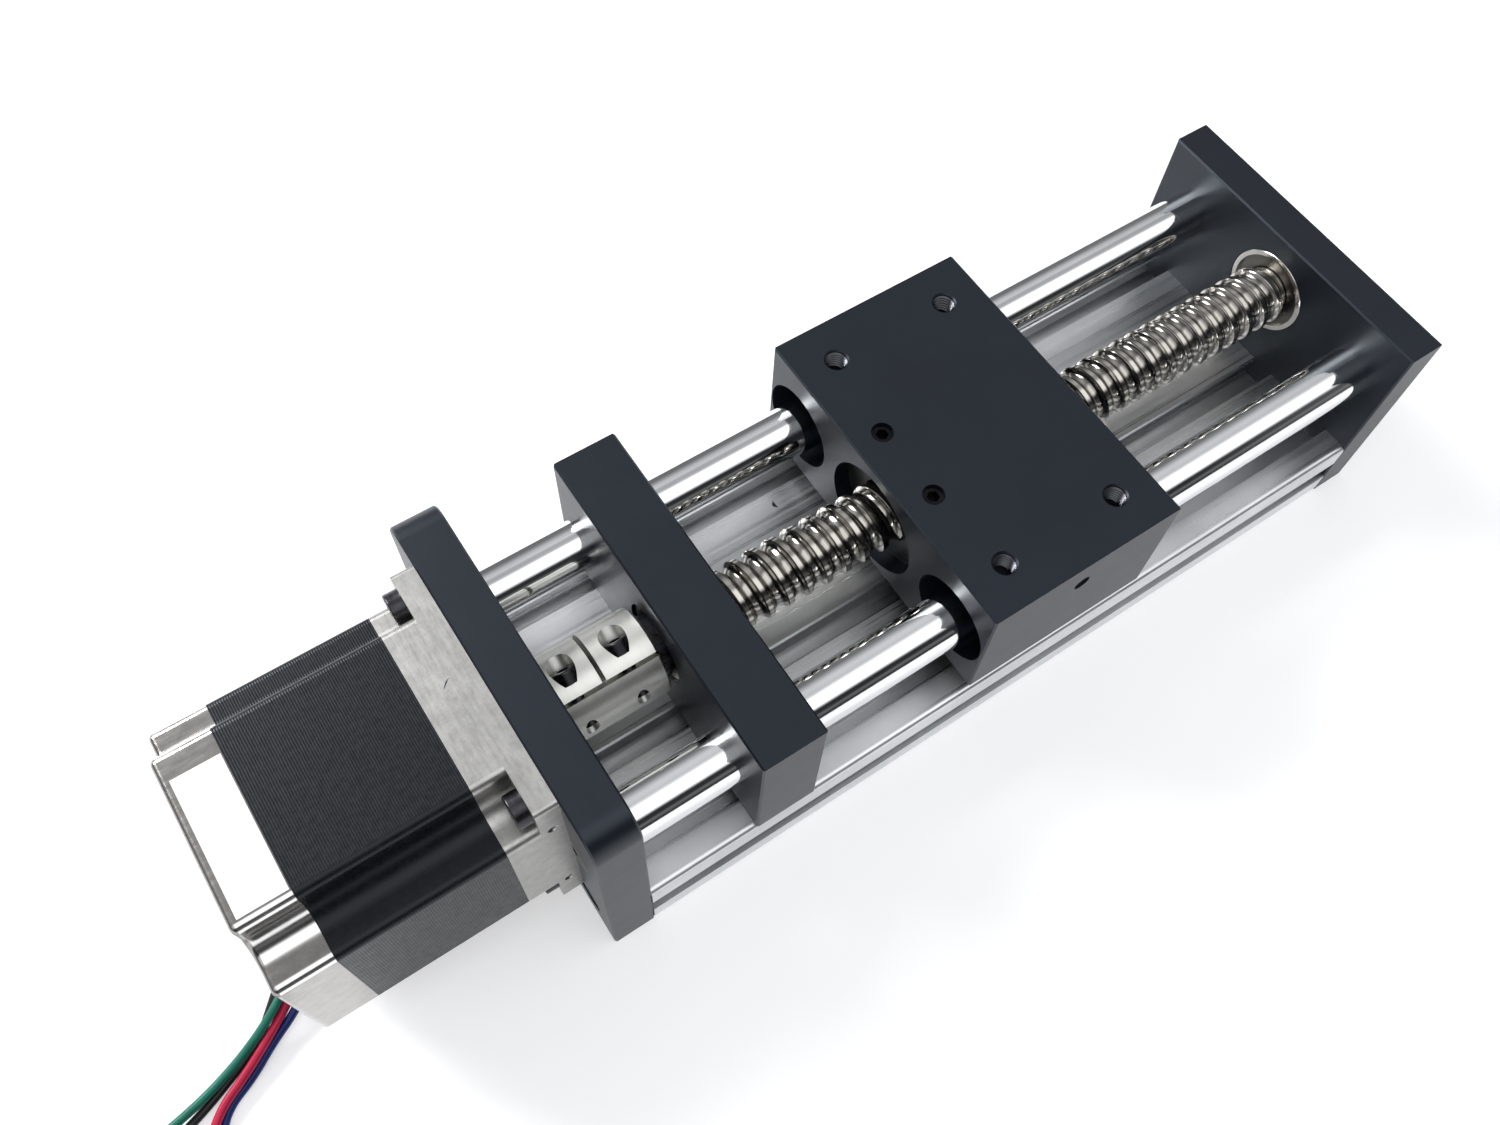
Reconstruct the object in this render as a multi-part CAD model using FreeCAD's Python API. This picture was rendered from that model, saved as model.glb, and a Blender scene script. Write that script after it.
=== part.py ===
import FreeCAD, Part
import math
import os
from FreeCAD import Vector

# Ball screw linear module: a T-slot base, two guide rods, a ball screw driven by a stepper motor
# through a clamp coupling, and a slider block between the rods. Millimetres. The origin is the
# centre of the base's underside, +X runs from the motor to the far end, +Z is up.

# Base extrusion
BASE_LENGTH = 203.0
BASE_WIDTH = 80.0
BASE_HEIGHT = 20.0
SLOT_COUNT = 4
SLOT_PITCH = BASE_WIDTH / SLOT_COUNT
SLOT_OPENING = 6.2
SLOT_LIP = 1.8
SLOT_CAVITY = 11.0
SLOT_SHOULDER = 3.4
SLOT_DEPTH = 6.1
SLOT_FLOOR = 5.6
CORE_BORE = 5.0
CHAMBER_WIDTH = 5.4
CHAMBER_HEIGHT = 13.0
BASE_EDGE_RADIUS = 1.5

# Drive line
AXIS_HEIGHT = 40.0
SCREW_DIAMETER = 15.2
LEAD = 5.0
GROOVE_WIDTH = 3.3
GROOVE_DEPTH = 1.4
GROOVE_RIM = 0.2
GROOVE_OVERCUT = 0.6
GROOVE_SPAN = 4
SLICE_TURNS = 3
JOURNAL_DIAMETER = 8.0
SHAFT_GAP = 1.0
COLLAR_DIAMETER = 12.0
COLLAR_LENGTH = 1.0
BALL_DIAMETER = 2.9
BALL_CIRCLE = 15.5
BALL_STEP = 3.2
BALL_TURNS = 1.5
BALL_START = 0.3

# Guide rods
ROD_DIAMETER = 12.0
ROD_INSET = 11.25
ROD_SOCKET = 5.0
ROD_TAP = 5.0
ROD_TAP_DEPTH = 18.0

# Plates and bearing block
PLATE_THICKNESS = 10.0
MOTOR_PLATE_MARGIN = 0.3
MOTOR_PLATE_CORNER = 6.5
END_PLATE_RISE = 16.5
COUPLING_BAY = 26.0
BLOCK_THICKNESS = 15.0
BLOCK_MOUTH = 19.0
BLOCK_SHOULDER = 1.0
BLOCK_TAP_DEPTH = 11.0
EDGE_CHAMFER = 0.4

# Ball bearings, 8 x 22 x 7
BEARING_BORE = JOURNAL_DIAMETER
BEARING_OUTER = 22.0
BEARING_WIDTH = 7.0
RING_INNER_EDGE = 12.1
RING_OUTER_EDGE = 19.2
RING_CHAMFER = 0.3
SHIELD_RECESS = 0.7
SHIELD_GAP = 0.3
SHIELD_THICKNESS = 0.4
LOCK_NUT_DIAMETER = 14.0
LOCK_NUT_FLATS = 12.0
LOCK_NUT_WIDTH = 2.6

# Slider block and what it carries
CARRIAGE_LENGTH = 50.0
CARRIAGE_DROP = 15.5
CARRIAGE_RISE = 17.0
CARRIAGE_GAP_AT_REST = 41.0
LINEAR_BEARING_OUTER = 21.0
LINEAR_BEARING_LENGTH = 30.0
LINEAR_CAGE_OUTER = 18.4
LINEAR_CAGE_INSET = 0.5
ROD_CLEARANCE = 0.06
NUT_DIAMETER = 28.0
NUT_LENGTH = 39.0
NUT_RECESS = 4.0
WIPER_THICKNESS = 1.5
WIPER_CLEARANCE = 0.1
NUT_CLEARANCE = 0.35
TRACK_TURNS = 3
TRACK_INSET = 10.0
TRACK_PLAY = 0.2
TRACK_MOUTH = 3.4
TRACK_FLOOR = 2.2
TRACK_OVERCUT = 0.3
LOAD_HOLE_INSET = 10.0
LOAD_HOLE_DEPTH = 5.5
HOLE_CHAMFER = 0.35
NUT_SCREW_PITCH = 18.3
NUT_SCREW_INSET = 7.4
SET_SCREW_SINK = 0.8
SET_SCREW_SOCKET = 2.5
DOG_RISE = 6.6
DOG_LENGTH = 5.6
DOG_DIAMETER = 3.2
DOG_PLAY = 0.2
SIDE_HOLE = 4.0
SIDE_HOLE_RISE = 8.6
SIDE_SCREW_LENGTH = 2.2
SIDE_SCREW_SOCKET = 2.0

# Clamp coupling
COUPLING_DIAMETER = 20.0
COUPLING_LENGTH = 25.0
COUPLING_INTO_PLATE = 1.0
COUPLING_CHAMFER = 0.5
COUPLING_SLIT = 1.0
COUPLING_SLIT_ANGLE = 123.0
CLAMP_OFFSET = 7.0
CLAMP_SPREAD = 6.0
CLAMP_POCKET = 5.6
CLAMP_SEAT = 3.2
CLAMP_SCREW_LENGTH = 9.6

# Motor, 57 mm frame
MOTOR_SIZE = 56.4
MOTOR_NOTCH = 18.3
NOTCH_FILLET = 5.0
NOTCH_EDGE = 1.8
FLANGE_THICKNESS = 4.8
FLANGE_CORNER = 1.2
FLANGE_HOLE = 5.2
FRONT_CAP_LENGTH = 11.7
STACK_LENGTH = 33.3
REAR_CAP_LENGTH = 11.5
PILOT_DIAMETER = 38.1
PILOT_LENGTH = 1.6
MOTOR_HOLE_PITCH = 47.14
MOTOR_SHAFT_REACH = 20.5
ROTOR_DIAMETER = 31.2
ROTOR_POCKET = 27.2
ROTOR_GAP = 0.4
ROTOR_LENGTH = 28.0
REAR_RIM = 1.2
REAR_BEARING_INSET = 3.5
FRONT_BEARING_INSET = 3.0
DIMPLE_DIAMETER = 2.4
DIMPLE_PROUD = 0.3
DIMPLE_INSET = 2.3
DIMPLE_RISE = 17.2
LABEL_LENGTH = 28.6
LABEL_WIDTH = 9.4
LABEL_GAP = 0.2
LABEL_START = -16.4
LABEL_THICKNESS = 0.15
TIE_BOLT_OFFSET = 16.2
TIE_BOLT_RECESS = 6.0
TIE_BOLT_HEAD_DEPTH = 3.2
TIE_BOLT_GRIP = 5.0
GROMMET_INSET = 6.0
GROMMET_LENGTH = 5.0
GROMMET_WIDTH = 12.0
GROMMET_DEPTH = 4.0
GROMMET_STANDS_OUT = 1.0
GROMMET_CHAMFER = 0.4

# Motor leads, each with its unseen length in a coil
LEAD_WIRE = 1.9
LEAD_PITCH = 2.7
LEAD_DROP = 3.4
LEAD_LENGTH = 300.0
COIL_MID_RADIUS = 10.2
COIL_LAYERS = 2
COIL_TURNS_PER_LAYER = 2

# Screws: thread diameter -> head diameter, head height, socket across flats
M3 = 3.0
M4 = 4.0
M5 = 5.0
CAP_HEADS = {M3: (5.2, 3.0, 2.5), M4: (7.0, 3.0, 2.5), M5: (8.5, 5.0, 4.0)}
HEAD_ROUNDING = 0.4
FLAT_HEAD = 10.0
FLAT_SOCKET = 3.0
CLEAR_M5 = 5.5
COUNTERBORE_PLAY = 0.5
HEAD_SINK = 0.3
THREAD_GRIP = 10.1
PLATE_SCREW_LENGTH = 2 * PLATE_THICKNESS
BLOCK_SCREW_LENGTH = BASE_HEIGHT - SLOT_DEPTH + THREAD_GRIP
MOTOR_SCREW_END = 0.8
MOTOR_SCREW_LENGTH = FLANGE_THICKNESS + PLATE_THICKNESS - MOTOR_SCREW_END

# Places worked out from the sizes above
BASE_X0 = -BASE_LENGTH / 2
BASE_X1 = BASE_LENGTH / 2
MOTOR_FACE = BASE_X0 - PLATE_THICKNESS
END_FACE = BASE_X1 + PLATE_THICKNESS
BLOCK_X0 = BASE_X0 + COUPLING_BAY
BLOCK_X1 = BLOCK_X0 + BLOCK_THICKNESS
CARRIAGE_X0 = BLOCK_X1 + CARRIAGE_GAP_AT_REST
CARRIAGE_X1 = CARRIAGE_X0 + CARRIAGE_LENGTH
CARRIAGE_MID = (CARRIAGE_X0 + CARRIAGE_X1) / 2
CARRIAGE_BOTTOM = AXIS_HEIGHT - CARRIAGE_DROP
CARRIAGE_TOP = AXIS_HEIGHT + CARRIAGE_RISE
END_PLATE_HEIGHT = AXIS_HEIGHT + END_PLATE_RISE
MOTOR_PLATE_HEIGHT = AXIS_HEIGHT + MOTOR_SIZE / 2 + MOTOR_PLATE_MARGIN
BLOCK_SCREW_X = (BLOCK_X0 + BLOCK_X1) / 2
COUPLING_X0 = BASE_X0 - COUPLING_INTO_PLATE
COUPLING_X1 = COUPLING_X0 + COUPLING_LENGTH
COUPLING_MID = (COUPLING_X0 + COUPLING_X1) / 2
FRONT_CAP_X0 = MOTOR_FACE - FRONT_CAP_LENGTH
STACK_X0 = FRONT_CAP_X0 - STACK_LENGTH
REAR_X0 = STACK_X0 - REAR_CAP_LENGTH
THREAD_X0 = BLOCK_X1 + COLLAR_LENGTH
THREAD_X1 = BASE_X1 - COLLAR_LENGTH
NUT_X0 = CARRIAGE_X0 + NUT_RECESS + WIPER_THICKNESS
NUT_X1 = NUT_X0 + NUT_LENGTH
NUT_SCREW_X = CARRIAGE_X0 + NUT_SCREW_INSET
DOG_TIP = AXIS_HEIGHT + DOG_RISE
GROOVE_START = THREAD_X0 - LEAD / 2
TRACK_X0 = GROOVE_START + LEAD * round((NUT_X0 + TRACK_INSET - GROOVE_START) / LEAD)
SIDE_HOLE_HEIGHT = AXIS_HEIGHT + SIDE_HOLE_RISE
ROD_Y = BASE_WIDTH / 2 - ROD_INSET
SLOT_ROWS = [SLOT_PITCH * (i - (SLOT_COUNT - 1) / 2) for i in range(SLOT_COUNT)]
BLOCK_SCREW_Y = SLOT_ROWS[-1]
MOTOR_BOTTOM = AXIS_HEIGHT - MOTOR_SIZE / 2
GROMMET_X = REAR_X0 + GROMMET_INSET
DRIVE_BEARINGS = [BLOCK_X0 + BLOCK_SHOULDER + i * BEARING_WIDTH for i in range(2)]
END_BEARING = BASE_X1
MOTOR_BEARINGS = [REAR_X0 + REAR_BEARING_INSET, MOTOR_FACE - FRONT_BEARING_INSET - BEARING_WIDTH]
SIDES = (-1, 1)


def box(x0, x1, y0, y1, z0, z1):
    return Part.makeBox(x1 - x0, y1 - y0, z1 - z0, Vector(x0, y0, z0))


def rod_x(diameter, x0, x1, y=0.0, z=AXIS_HEIGHT):
    return Part.makeCylinder(diameter / 2, x1 - x0, Vector(x0, y, z), Vector(1, 0, 0))


def rod_y(diameter, y0, y1, x, z):
    return Part.makeCylinder(diameter / 2, y1 - y0, Vector(x, y0, z), Vector(0, 1, 0))


def rod_z(diameter, z0, z1, x, y):
    return Part.makeCylinder(diameter / 2, z1 - z0, Vector(x, y, z0), Vector(0, 0, 1))


def tube_x(outer, inner, x0, x1, y=0.0, z=AXIS_HEIGHT):
    return rod_x(outer, x0, x1, y, z).cut(rod_x(inner, x0, x1, y, z))


def cone_x(x0, d0, x1, d1, y=0.0, z=AXIS_HEIGHT):
    return Part.makeCone(d0 / 2, d1 / 2, x1 - x0, Vector(x0, y, z), Vector(1, 0, 0))


def cone_z(z0, d0, z1, d1, x, y):
    return Part.makeCone(d0 / 2, d1 / 2, z1 - z0, Vector(x, y, z0), Vector(0, 0, 1))


def prism_x(outline, x0, x1):
    """Closed outline of (y, z) points drawn out along X."""
    points = [Vector(x0, y, z) for y, z in outline]
    return Part.Face(Part.makePolygon(points + points[:1])).extrude(Vector(x1 - x0, 0, 0))


def cut_all(body, tools):
    return body.cut(Part.Compound(tools)) if tools else body


def join(first, *others):
    return first.fuse(list(others)).removeSplitter()


def edges_where(shape, test):
    return [edge for edge in shape.Edges if test(edge)]


def is_along(edge, axis):
    ends = edge.Vertexes
    if len(ends) != 2:
        return False
    step = ends[1].Point - ends[0].Point
    return step.Length > 0 and abs(step.normalize().dot(axis)) > 0.999


def chamfer_plate_rims(plate, x0, x1, size=EDGE_CHAMFER):
    """Break the straight edges round the two large faces of a plate."""
    def on_rim(edge):
        box_of = edge.BoundBox
        flat = box_of.XLength < 1e-6 and edge.Curve.TypeId == "Part::GeomLine"
        return flat and min(abs(box_of.XMin - x0), abs(box_of.XMin - x1)) < 1e-6
    return plate.makeChamfer(size, edges_where(plate, on_rim))


def hexagon_x(flats, x0, x1, y=0.0, z=AXIS_HEIGHT):
    radius = flats / 2 / math.cos(math.pi / 6)
    corners = [(y + radius * math.cos(i * math.pi / 3), z + radius * math.sin(i * math.pi / 3))
               for i in range(6)]
    return prism_x(corners, x0, x1)


def cap_screw(size, length):
    """Socket cap screw along +X, its head seated on the plane x = 0 at the world origin."""
    head_d, head_h, flats = CAP_HEADS[size]
    head = rod_x(head_d, -head_h, 0, 0, 0)
    head = head.makeFillet(HEAD_ROUNDING, edges_where(head, lambda e: e.BoundBox.XMax < -head_h / 2))
    body = join(head, rod_x(size, 0, length, 0, 0))
    return body.cut(hexagon_x(flats, -head_h - 1, -head_h / 2, 0, 0))


def flat_screw(size, length):
    """Countersunk screw along +X with its flat top on the plane x = 0."""
    depth = (FLAT_HEAD - size) / 2
    body = join(cone_x(0, FLAT_HEAD, depth, size, 0, 0), rod_x(size, depth, length, 0, 0))
    return body.cut(hexagon_x(FLAT_SOCKET, -1, depth, 0, 0))


def set_screw(size, length, flats, dog_diameter=0.0, dog_length=0.0):
    """Headless screw along +X, starting at x = 0, with an optional dog point at its end."""
    body = rod_x(size, 0, length, 0, 0)
    if dog_length > 0:
        body = join(body, rod_x(dog_diameter, length, length + dog_length, 0, 0))
    return body.cut(hexagon_x(flats, -1, length * 0.5, 0, 0))


def turned(shape, direction):
    """A part drawn along +X, turned to point along the given direction."""
    copy = shape.copy()
    rotation = FreeCAD.Rotation(Vector(1, 0, 0), direction)
    copy.Placement = FreeCAD.Placement(Vector(0, 0, 0), rotation)
    return copy


def placed(shape, x, y, z):
    copy = shape.copy()
    copy.translate(Vector(x, y, z))
    return copy


def slot_outline():
    """Half of the T-slot's outline as (half width, depth below the surface), mouth first."""
    half_mouth = SLOT_OPENING / 2
    half_cavity = SLOT_CAVITY / 2
    half_floor = SLOT_FLOOR / 2
    return [(half_mouth, -1.0), (half_mouth, SLOT_LIP), (half_cavity, SLOT_LIP),
            (half_cavity, SLOT_SHOULDER), (half_floor, SLOT_DEPTH)]


def slot_tool(place):
    """One T-slot along the base; place maps (across, depth) to (y, z)."""
    half = slot_outline()
    outline = half + [(-across, depth) for across, depth in reversed(half)]
    return prism_x([place(across, depth) for across, depth in outline], BASE_X0 - 1, BASE_X1 + 1)


def chamber_tool(y):
    """Hollow between two cells of the section, with slanted corners."""
    mid = BASE_HEIGHT / 2
    w = CHAMBER_WIDTH / 2
    h = CHAMBER_HEIGHT / 2
    waist = h - w
    outline = [(-w, -h), (w, -h), (w / 2, -waist), (w / 2, waist),
               (w, h), (-w, h), (-w / 2, waist), (-w / 2, -waist)]
    return prism_x([(y + a, mid + b) for a, b in outline], BASE_X0 - 1, BASE_X1 + 1)


def base_extrusion():
    half_width = BASE_WIDTH / 2
    base = box(BASE_X0, BASE_X1, -half_width, half_width, 0, BASE_HEIGHT)
    long_edges = edges_where(base, lambda edge: is_along(edge, Vector(1, 0, 0)))
    base = base.makeFillet(BASE_EDGE_RADIUS, long_edges)
    tools = []
    for row in SLOT_ROWS:
        tools.append(slot_tool(lambda a, d, row=row: (row + a, BASE_HEIGHT - d)))
        tools.append(slot_tool(lambda a, d, row=row: (row + a, d)))
        tools.append(rod_x(CORE_BORE, BASE_X0 - 1, BASE_X1 + 1, row, BASE_HEIGHT / 2))
    for side in SIDES:
        tools.append(slot_tool(lambda a, d, s=side: (s * (half_width - d), BASE_HEIGHT / 2 + a)))
    for y in (-SLOT_PITCH, 0.0, SLOT_PITCH):
        tools.append(chamber_tool(y))
    head_d = CAP_HEADS[M5][0]
    for side in SIDES:
        y = side * BLOCK_SCREW_Y
        tools.append(rod_z(CLEAR_M5, 0, BASE_HEIGHT, BLOCK_SCREW_X, y))
        tools.append(rod_z(head_d + COUNTERBORE_PLAY, -1, SLOT_DEPTH, BLOCK_SCREW_X, y))
    return cut_all(base, tools)


def end_screw_holes(x_outer, x_inner):
    """Counterbored holes that hold a plate to the base, and countersunk ones to the rods."""
    head_d, head_h, _ = CAP_HEADS[M5]
    step = 1 if x_inner > x_outer else -1
    tools = []
    for row in SLOT_ROWS:
        spans = sorted((x_outer - step, x_outer + step * (head_h + HEAD_SINK)))
        tools.append(rod_x(head_d + COUNTERBORE_PLAY, spans[0], spans[1], row, BASE_HEIGHT / 2))
        spans = sorted((x_outer, x_inner))
        tools.append(rod_x(CLEAR_M5, spans[0] - 1, spans[1] + 1, row, BASE_HEIGHT / 2))
    sink = (FLAT_HEAD - M5) / 2
    for side in SIDES:
        y = side * ROD_Y
        rod_end = x_inner - step * ROD_SOCKET
        spans = sorted((rod_end, x_inner + step))
        tools.append(rod_x(ROD_DIAMETER, spans[0], spans[1], y))
        spans = sorted((x_outer - step, rod_end))
        tools.append(rod_x(M5, spans[0], spans[1], y))
        if step > 0:
            tools.append(cone_x(x_outer, FLAT_HEAD, x_outer + sink, M5, y))
        else:
            tools.append(cone_x(x_outer - sink, M5, x_outer, FLAT_HEAD, y))
    return tools


def motor_plate():
    half_width = BASE_WIDTH / 2
    plate = box(MOTOR_FACE, BASE_X0, -half_width, half_width, 0, MOTOR_PLATE_HEIGHT)
    top = edges_where(plate, lambda e: is_along(e, Vector(1, 0, 0)) and e.BoundBox.ZMin > 1)
    plate = plate.makeFillet(MOTOR_PLATE_CORNER, top)
    plate = chamfer_plate_rims(plate, MOTOR_FACE, BASE_X0)
    tools = end_screw_holes(MOTOR_FACE, BASE_X0)
    tools.append(rod_x(PILOT_DIAMETER, MOTOR_FACE - 1, BASE_X0 + 1))
    for y, z in motor_hole_places():
        tools.append(rod_x(M4, MOTOR_FACE - 1, BASE_X0 + 1, y, z))
    return cut_all(plate, tools)


def end_plate():
    half_width = BASE_WIDTH / 2
    plate = box(BASE_X1, END_FACE, -half_width, half_width, 0, END_PLATE_HEIGHT)
    plate = chamfer_plate_rims(plate, BASE_X1, END_FACE)
    tools = end_screw_holes(END_FACE, BASE_X1)
    tools.append(rod_x(BEARING_OUTER, BASE_X1 - 1, BASE_X1 + BEARING_WIDTH))
    tools.append(rod_x(COLLAR_DIAMETER, BASE_X1, END_FACE + 1))
    return cut_all(plate, tools)


def bearing_block():
    half_width = BASE_WIDTH / 2
    block = box(BLOCK_X0, BLOCK_X1, -half_width, half_width, BASE_HEIGHT, END_PLATE_HEIGHT)
    block = chamfer_plate_rims(block, BLOCK_X0, BLOCK_X1)
    tools = [rod_x(BLOCK_MOUTH, BLOCK_X0 - 1, BLOCK_X1),
             rod_x(BEARING_OUTER, BLOCK_X0 + BLOCK_SHOULDER, BLOCK_X1 + 1)]
    for side in SIDES:
        tools.append(rod_x(ROD_DIAMETER, BLOCK_X0 - 1, BLOCK_X1 + 1, side * ROD_Y))
        tools.append(rod_z(M5, BASE_HEIGHT - 1, BASE_HEIGHT + BLOCK_TAP_DEPTH, BLOCK_SCREW_X,
                           side * BLOCK_SCREW_Y))
    return cut_all(block, tools)


def guide_rod(side):
    x0 = BASE_X0 - ROD_SOCKET
    x1 = BASE_X1 + ROD_SOCKET
    y = side * ROD_Y
    taps = [rod_x(ROD_TAP, x0 - 1, x0 + ROD_TAP_DEPTH, y),
            rod_x(ROD_TAP, x1 - ROD_TAP_DEPTH, x1 + 1, y)]
    return cut_all(rod_x(ROD_DIAMETER, x0, x1, y), taps)


def plate_screws():
    """Socket cap screws from both plates into the bores of the base."""
    screw = cap_screw(M5, PLATE_SCREW_LENGTH)
    seat = CAP_HEADS[M5][1] + HEAD_SINK
    solids = []
    for row in SLOT_ROWS:
        solids.append(placed(screw, MOTOR_FACE + seat, row, BASE_HEIGHT / 2))
        solids.append(placed(turned(screw, Vector(-1, 0, 0)), END_FACE - seat, row,
                             BASE_HEIGHT / 2))
    return solids


def rod_screws():
    screw = flat_screw(M5, ROD_TAP_DEPTH)
    solids = []
    for side in SIDES:
        solids.append(placed(screw, MOTOR_FACE, side * ROD_Y, AXIS_HEIGHT))
        solids.append(placed(turned(screw, Vector(-1, 0, 0)), END_FACE, side * ROD_Y, AXIS_HEIGHT))
    return solids


def block_screws():
    """Screws from the bottom slots up through the base into the bearing block."""
    screw = turned(cap_screw(M5, BLOCK_SCREW_LENGTH), Vector(0, 0, 1))
    return [placed(screw, BLOCK_SCREW_X, side * BLOCK_SCREW_Y, SLOT_DEPTH) for side in SIDES]


def outer_ring(x0):
    """Outer ring of a bearing with its two outer rims broken."""
    ring = tube_x(BEARING_OUTER, RING_OUTER_EDGE, x0, x0 + BEARING_WIDTH)

    def outer_rim(edge):
        size = edge.BoundBox
        return size.XLength < 1e-6 and size.YLength > BEARING_OUTER - RING_CHAMFER

    return ring.makeChamfer(RING_CHAMFER, edges_where(ring, outer_rim))


def inner_ring(x0):
    return tube_x(RING_INNER_EDGE, BEARING_BORE, x0, x0 + BEARING_WIDTH)


def shields(x0):
    """The two thin shields that close a bearing, held by the outer ring."""
    inner = RING_INNER_EDGE + 2 * SHIELD_GAP
    near = x0 + SHIELD_RECESS
    far = x0 + BEARING_WIDTH - SHIELD_RECESS - SHIELD_THICKNESS
    return [tube_x(RING_OUTER_EDGE, inner, x, x + SHIELD_THICKNESS) for x in (near, far)]


def helix_groove(x0, turns, outline, radius):
    """Closed outline in the plane y = 0, swept along a right-hand helix round the screw's axis."""
    helix = Part.makeHelix(LEAD, turns * LEAD, radius)
    swept = helix.makePipeShell([outline], True, True)
    swept.rotate(Vector(0, 0, 0), Vector(0, 1, 0), 90)
    swept.translate(Vector(x0, 0, AXIS_HEIGHT))
    return swept


def groove_outline():
    """Section of the ball groove: a round floor between two rims that flare outwards."""
    radius = SCREW_DIAMETER / 2
    rim = radius - GROOVE_RIM
    top = radius + GROOVE_OVERCUT
    half = GROOVE_WIDTH / 2
    flare = half + GROOVE_RIM + GROOVE_OVERCUT
    floor = Part.Arc(Vector(rim, 0, -half), Vector(radius - GROOVE_DEPTH, 0, 0),
                     Vector(rim, 0, half))
    sides = Part.makePolygon([Vector(rim, 0, half), Vector(top, 0, flare),
                              Vector(top, 0, -flare), Vector(rim, 0, -half)])
    return Part.Wire([floor.toShape()] + sides.Edges)


def grooved_slice():
    """Three turns of the grooved bar, cut square at both ends so that copies follow on."""
    radius = SCREW_DIAMETER / 2
    groove = helix_groove(0, GROOVE_SPAN, groove_outline(), radius - GROOVE_DEPTH)
    bar = rod_x(SCREW_DIAMETER, -LEAD, (GROOVE_SPAN + 1) * LEAD)
    x0 = LEAD / 2
    keep = box(x0, x0 + SLICE_TURNS * LEAD, -SCREW_DIAMETER, SCREW_DIAMETER,
               AXIS_HEIGHT - SCREW_DIAMETER, AXIS_HEIGHT + SCREW_DIAMETER)
    return bar.cut(groove).common(keep)


def ball_screw():
    """Screw with its ball groove, a collar at each end of the thread and two journals."""
    piece = grooved_slice()
    step = SLICE_TURNS * LEAD
    count = math.ceil((THREAD_X1 - THREAD_X0 + LEAD) / step)
    slices = [placed(piece, GROOVE_START + i * step, 0, 0) for i in range(count)]
    reach = SCREW_DIAMETER
    thread = slices[0].fuse(slices[1:])
    thread = thread.common(box(THREAD_X0, THREAD_X1, -reach, reach,
                               AXIS_HEIGHT - reach, AXIS_HEIGHT + reach))
    ends = [rod_x(JOURNAL_DIAMETER, COUPLING_MID + SHAFT_GAP, BLOCK_X1),
            rod_x(COLLAR_DIAMETER, BLOCK_X1, THREAD_X0),
            rod_x(COLLAR_DIAMETER, THREAD_X1, BASE_X1),
            rod_x(JOURNAL_DIAMETER, BASE_X1, END_FACE - SHAFT_GAP)]
    return thread.fuse(ends)


def lock_nut():
    """Round nut on the drive journal, with two spanner flats."""
    x1 = BLOCK_X0 + BLOCK_SHOULDER
    nut = tube_x(LOCK_NUT_DIAMETER, JOURNAL_DIAMETER, x1 - LOCK_NUT_WIDTH, x1)
    half = LOCK_NUT_FLATS / 2
    reach = LOCK_NUT_DIAMETER
    between_flats = box(x1 - reach, x1 + reach, -reach, reach, AXIS_HEIGHT - half,
                        AXIS_HEIGHT + half)
    return nut.common(between_flats)


def coupling():
    """One-piece clamp: a slit along it, a half slit round its middle and two screw pockets."""
    body = rod_x(COUPLING_DIAMETER, COUPLING_X0, COUPLING_X1)
    rims = edges_where(body, lambda e: e.Curve.TypeId == "Part::GeomCircle")
    body = body.makeChamfer(COUPLING_CHAMFER, rims)
    reach = COUPLING_DIAMETER
    slit = COUPLING_SLIT / 2
    tools = [box(COUPLING_X0 - 1, COUPLING_X1 + 1, 0, reach, -slit, slit),
             box(COUPLING_MID - slit, COUPLING_MID + slit, -reach, reach, -reach, 0)]
    for side in SIDES:
        x = COUPLING_MID + side * CLAMP_SPREAD
        tools.append(rod_z(CLAMP_POCKET, -reach, -CLAMP_SEAT, x, CLAMP_OFFSET))
        tools.append(rod_z(M3, -reach, reach, x, CLAMP_OFFSET))
    cutter = Part.Compound(tools)
    cutter.rotate(Vector(0, 0, 0), Vector(1, 0, 0), COUPLING_SLIT_ANGLE)
    cutter.translate(Vector(0, 0, AXIS_HEIGHT))
    body = body.cut(rod_x(JOURNAL_DIAMETER, COUPLING_X0 - 1, COUPLING_X1 + 1))
    return body.cut(cutter)


def coupling_screws():
    screw = turned(cap_screw(M3, CLAMP_SCREW_LENGTH), Vector(0, 0, 1))
    solids = []
    for side in SIDES:
        solid = placed(screw, COUPLING_MID + side * CLAMP_SPREAD, CLAMP_OFFSET, -CLAMP_SEAT)
        solid.rotate(Vector(0, 0, 0), Vector(1, 0, 0), COUPLING_SLIT_ANGLE)
        solid.translate(Vector(0, 0, AXIS_HEIGHT))
        solids.append(solid)
    return solids


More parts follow.
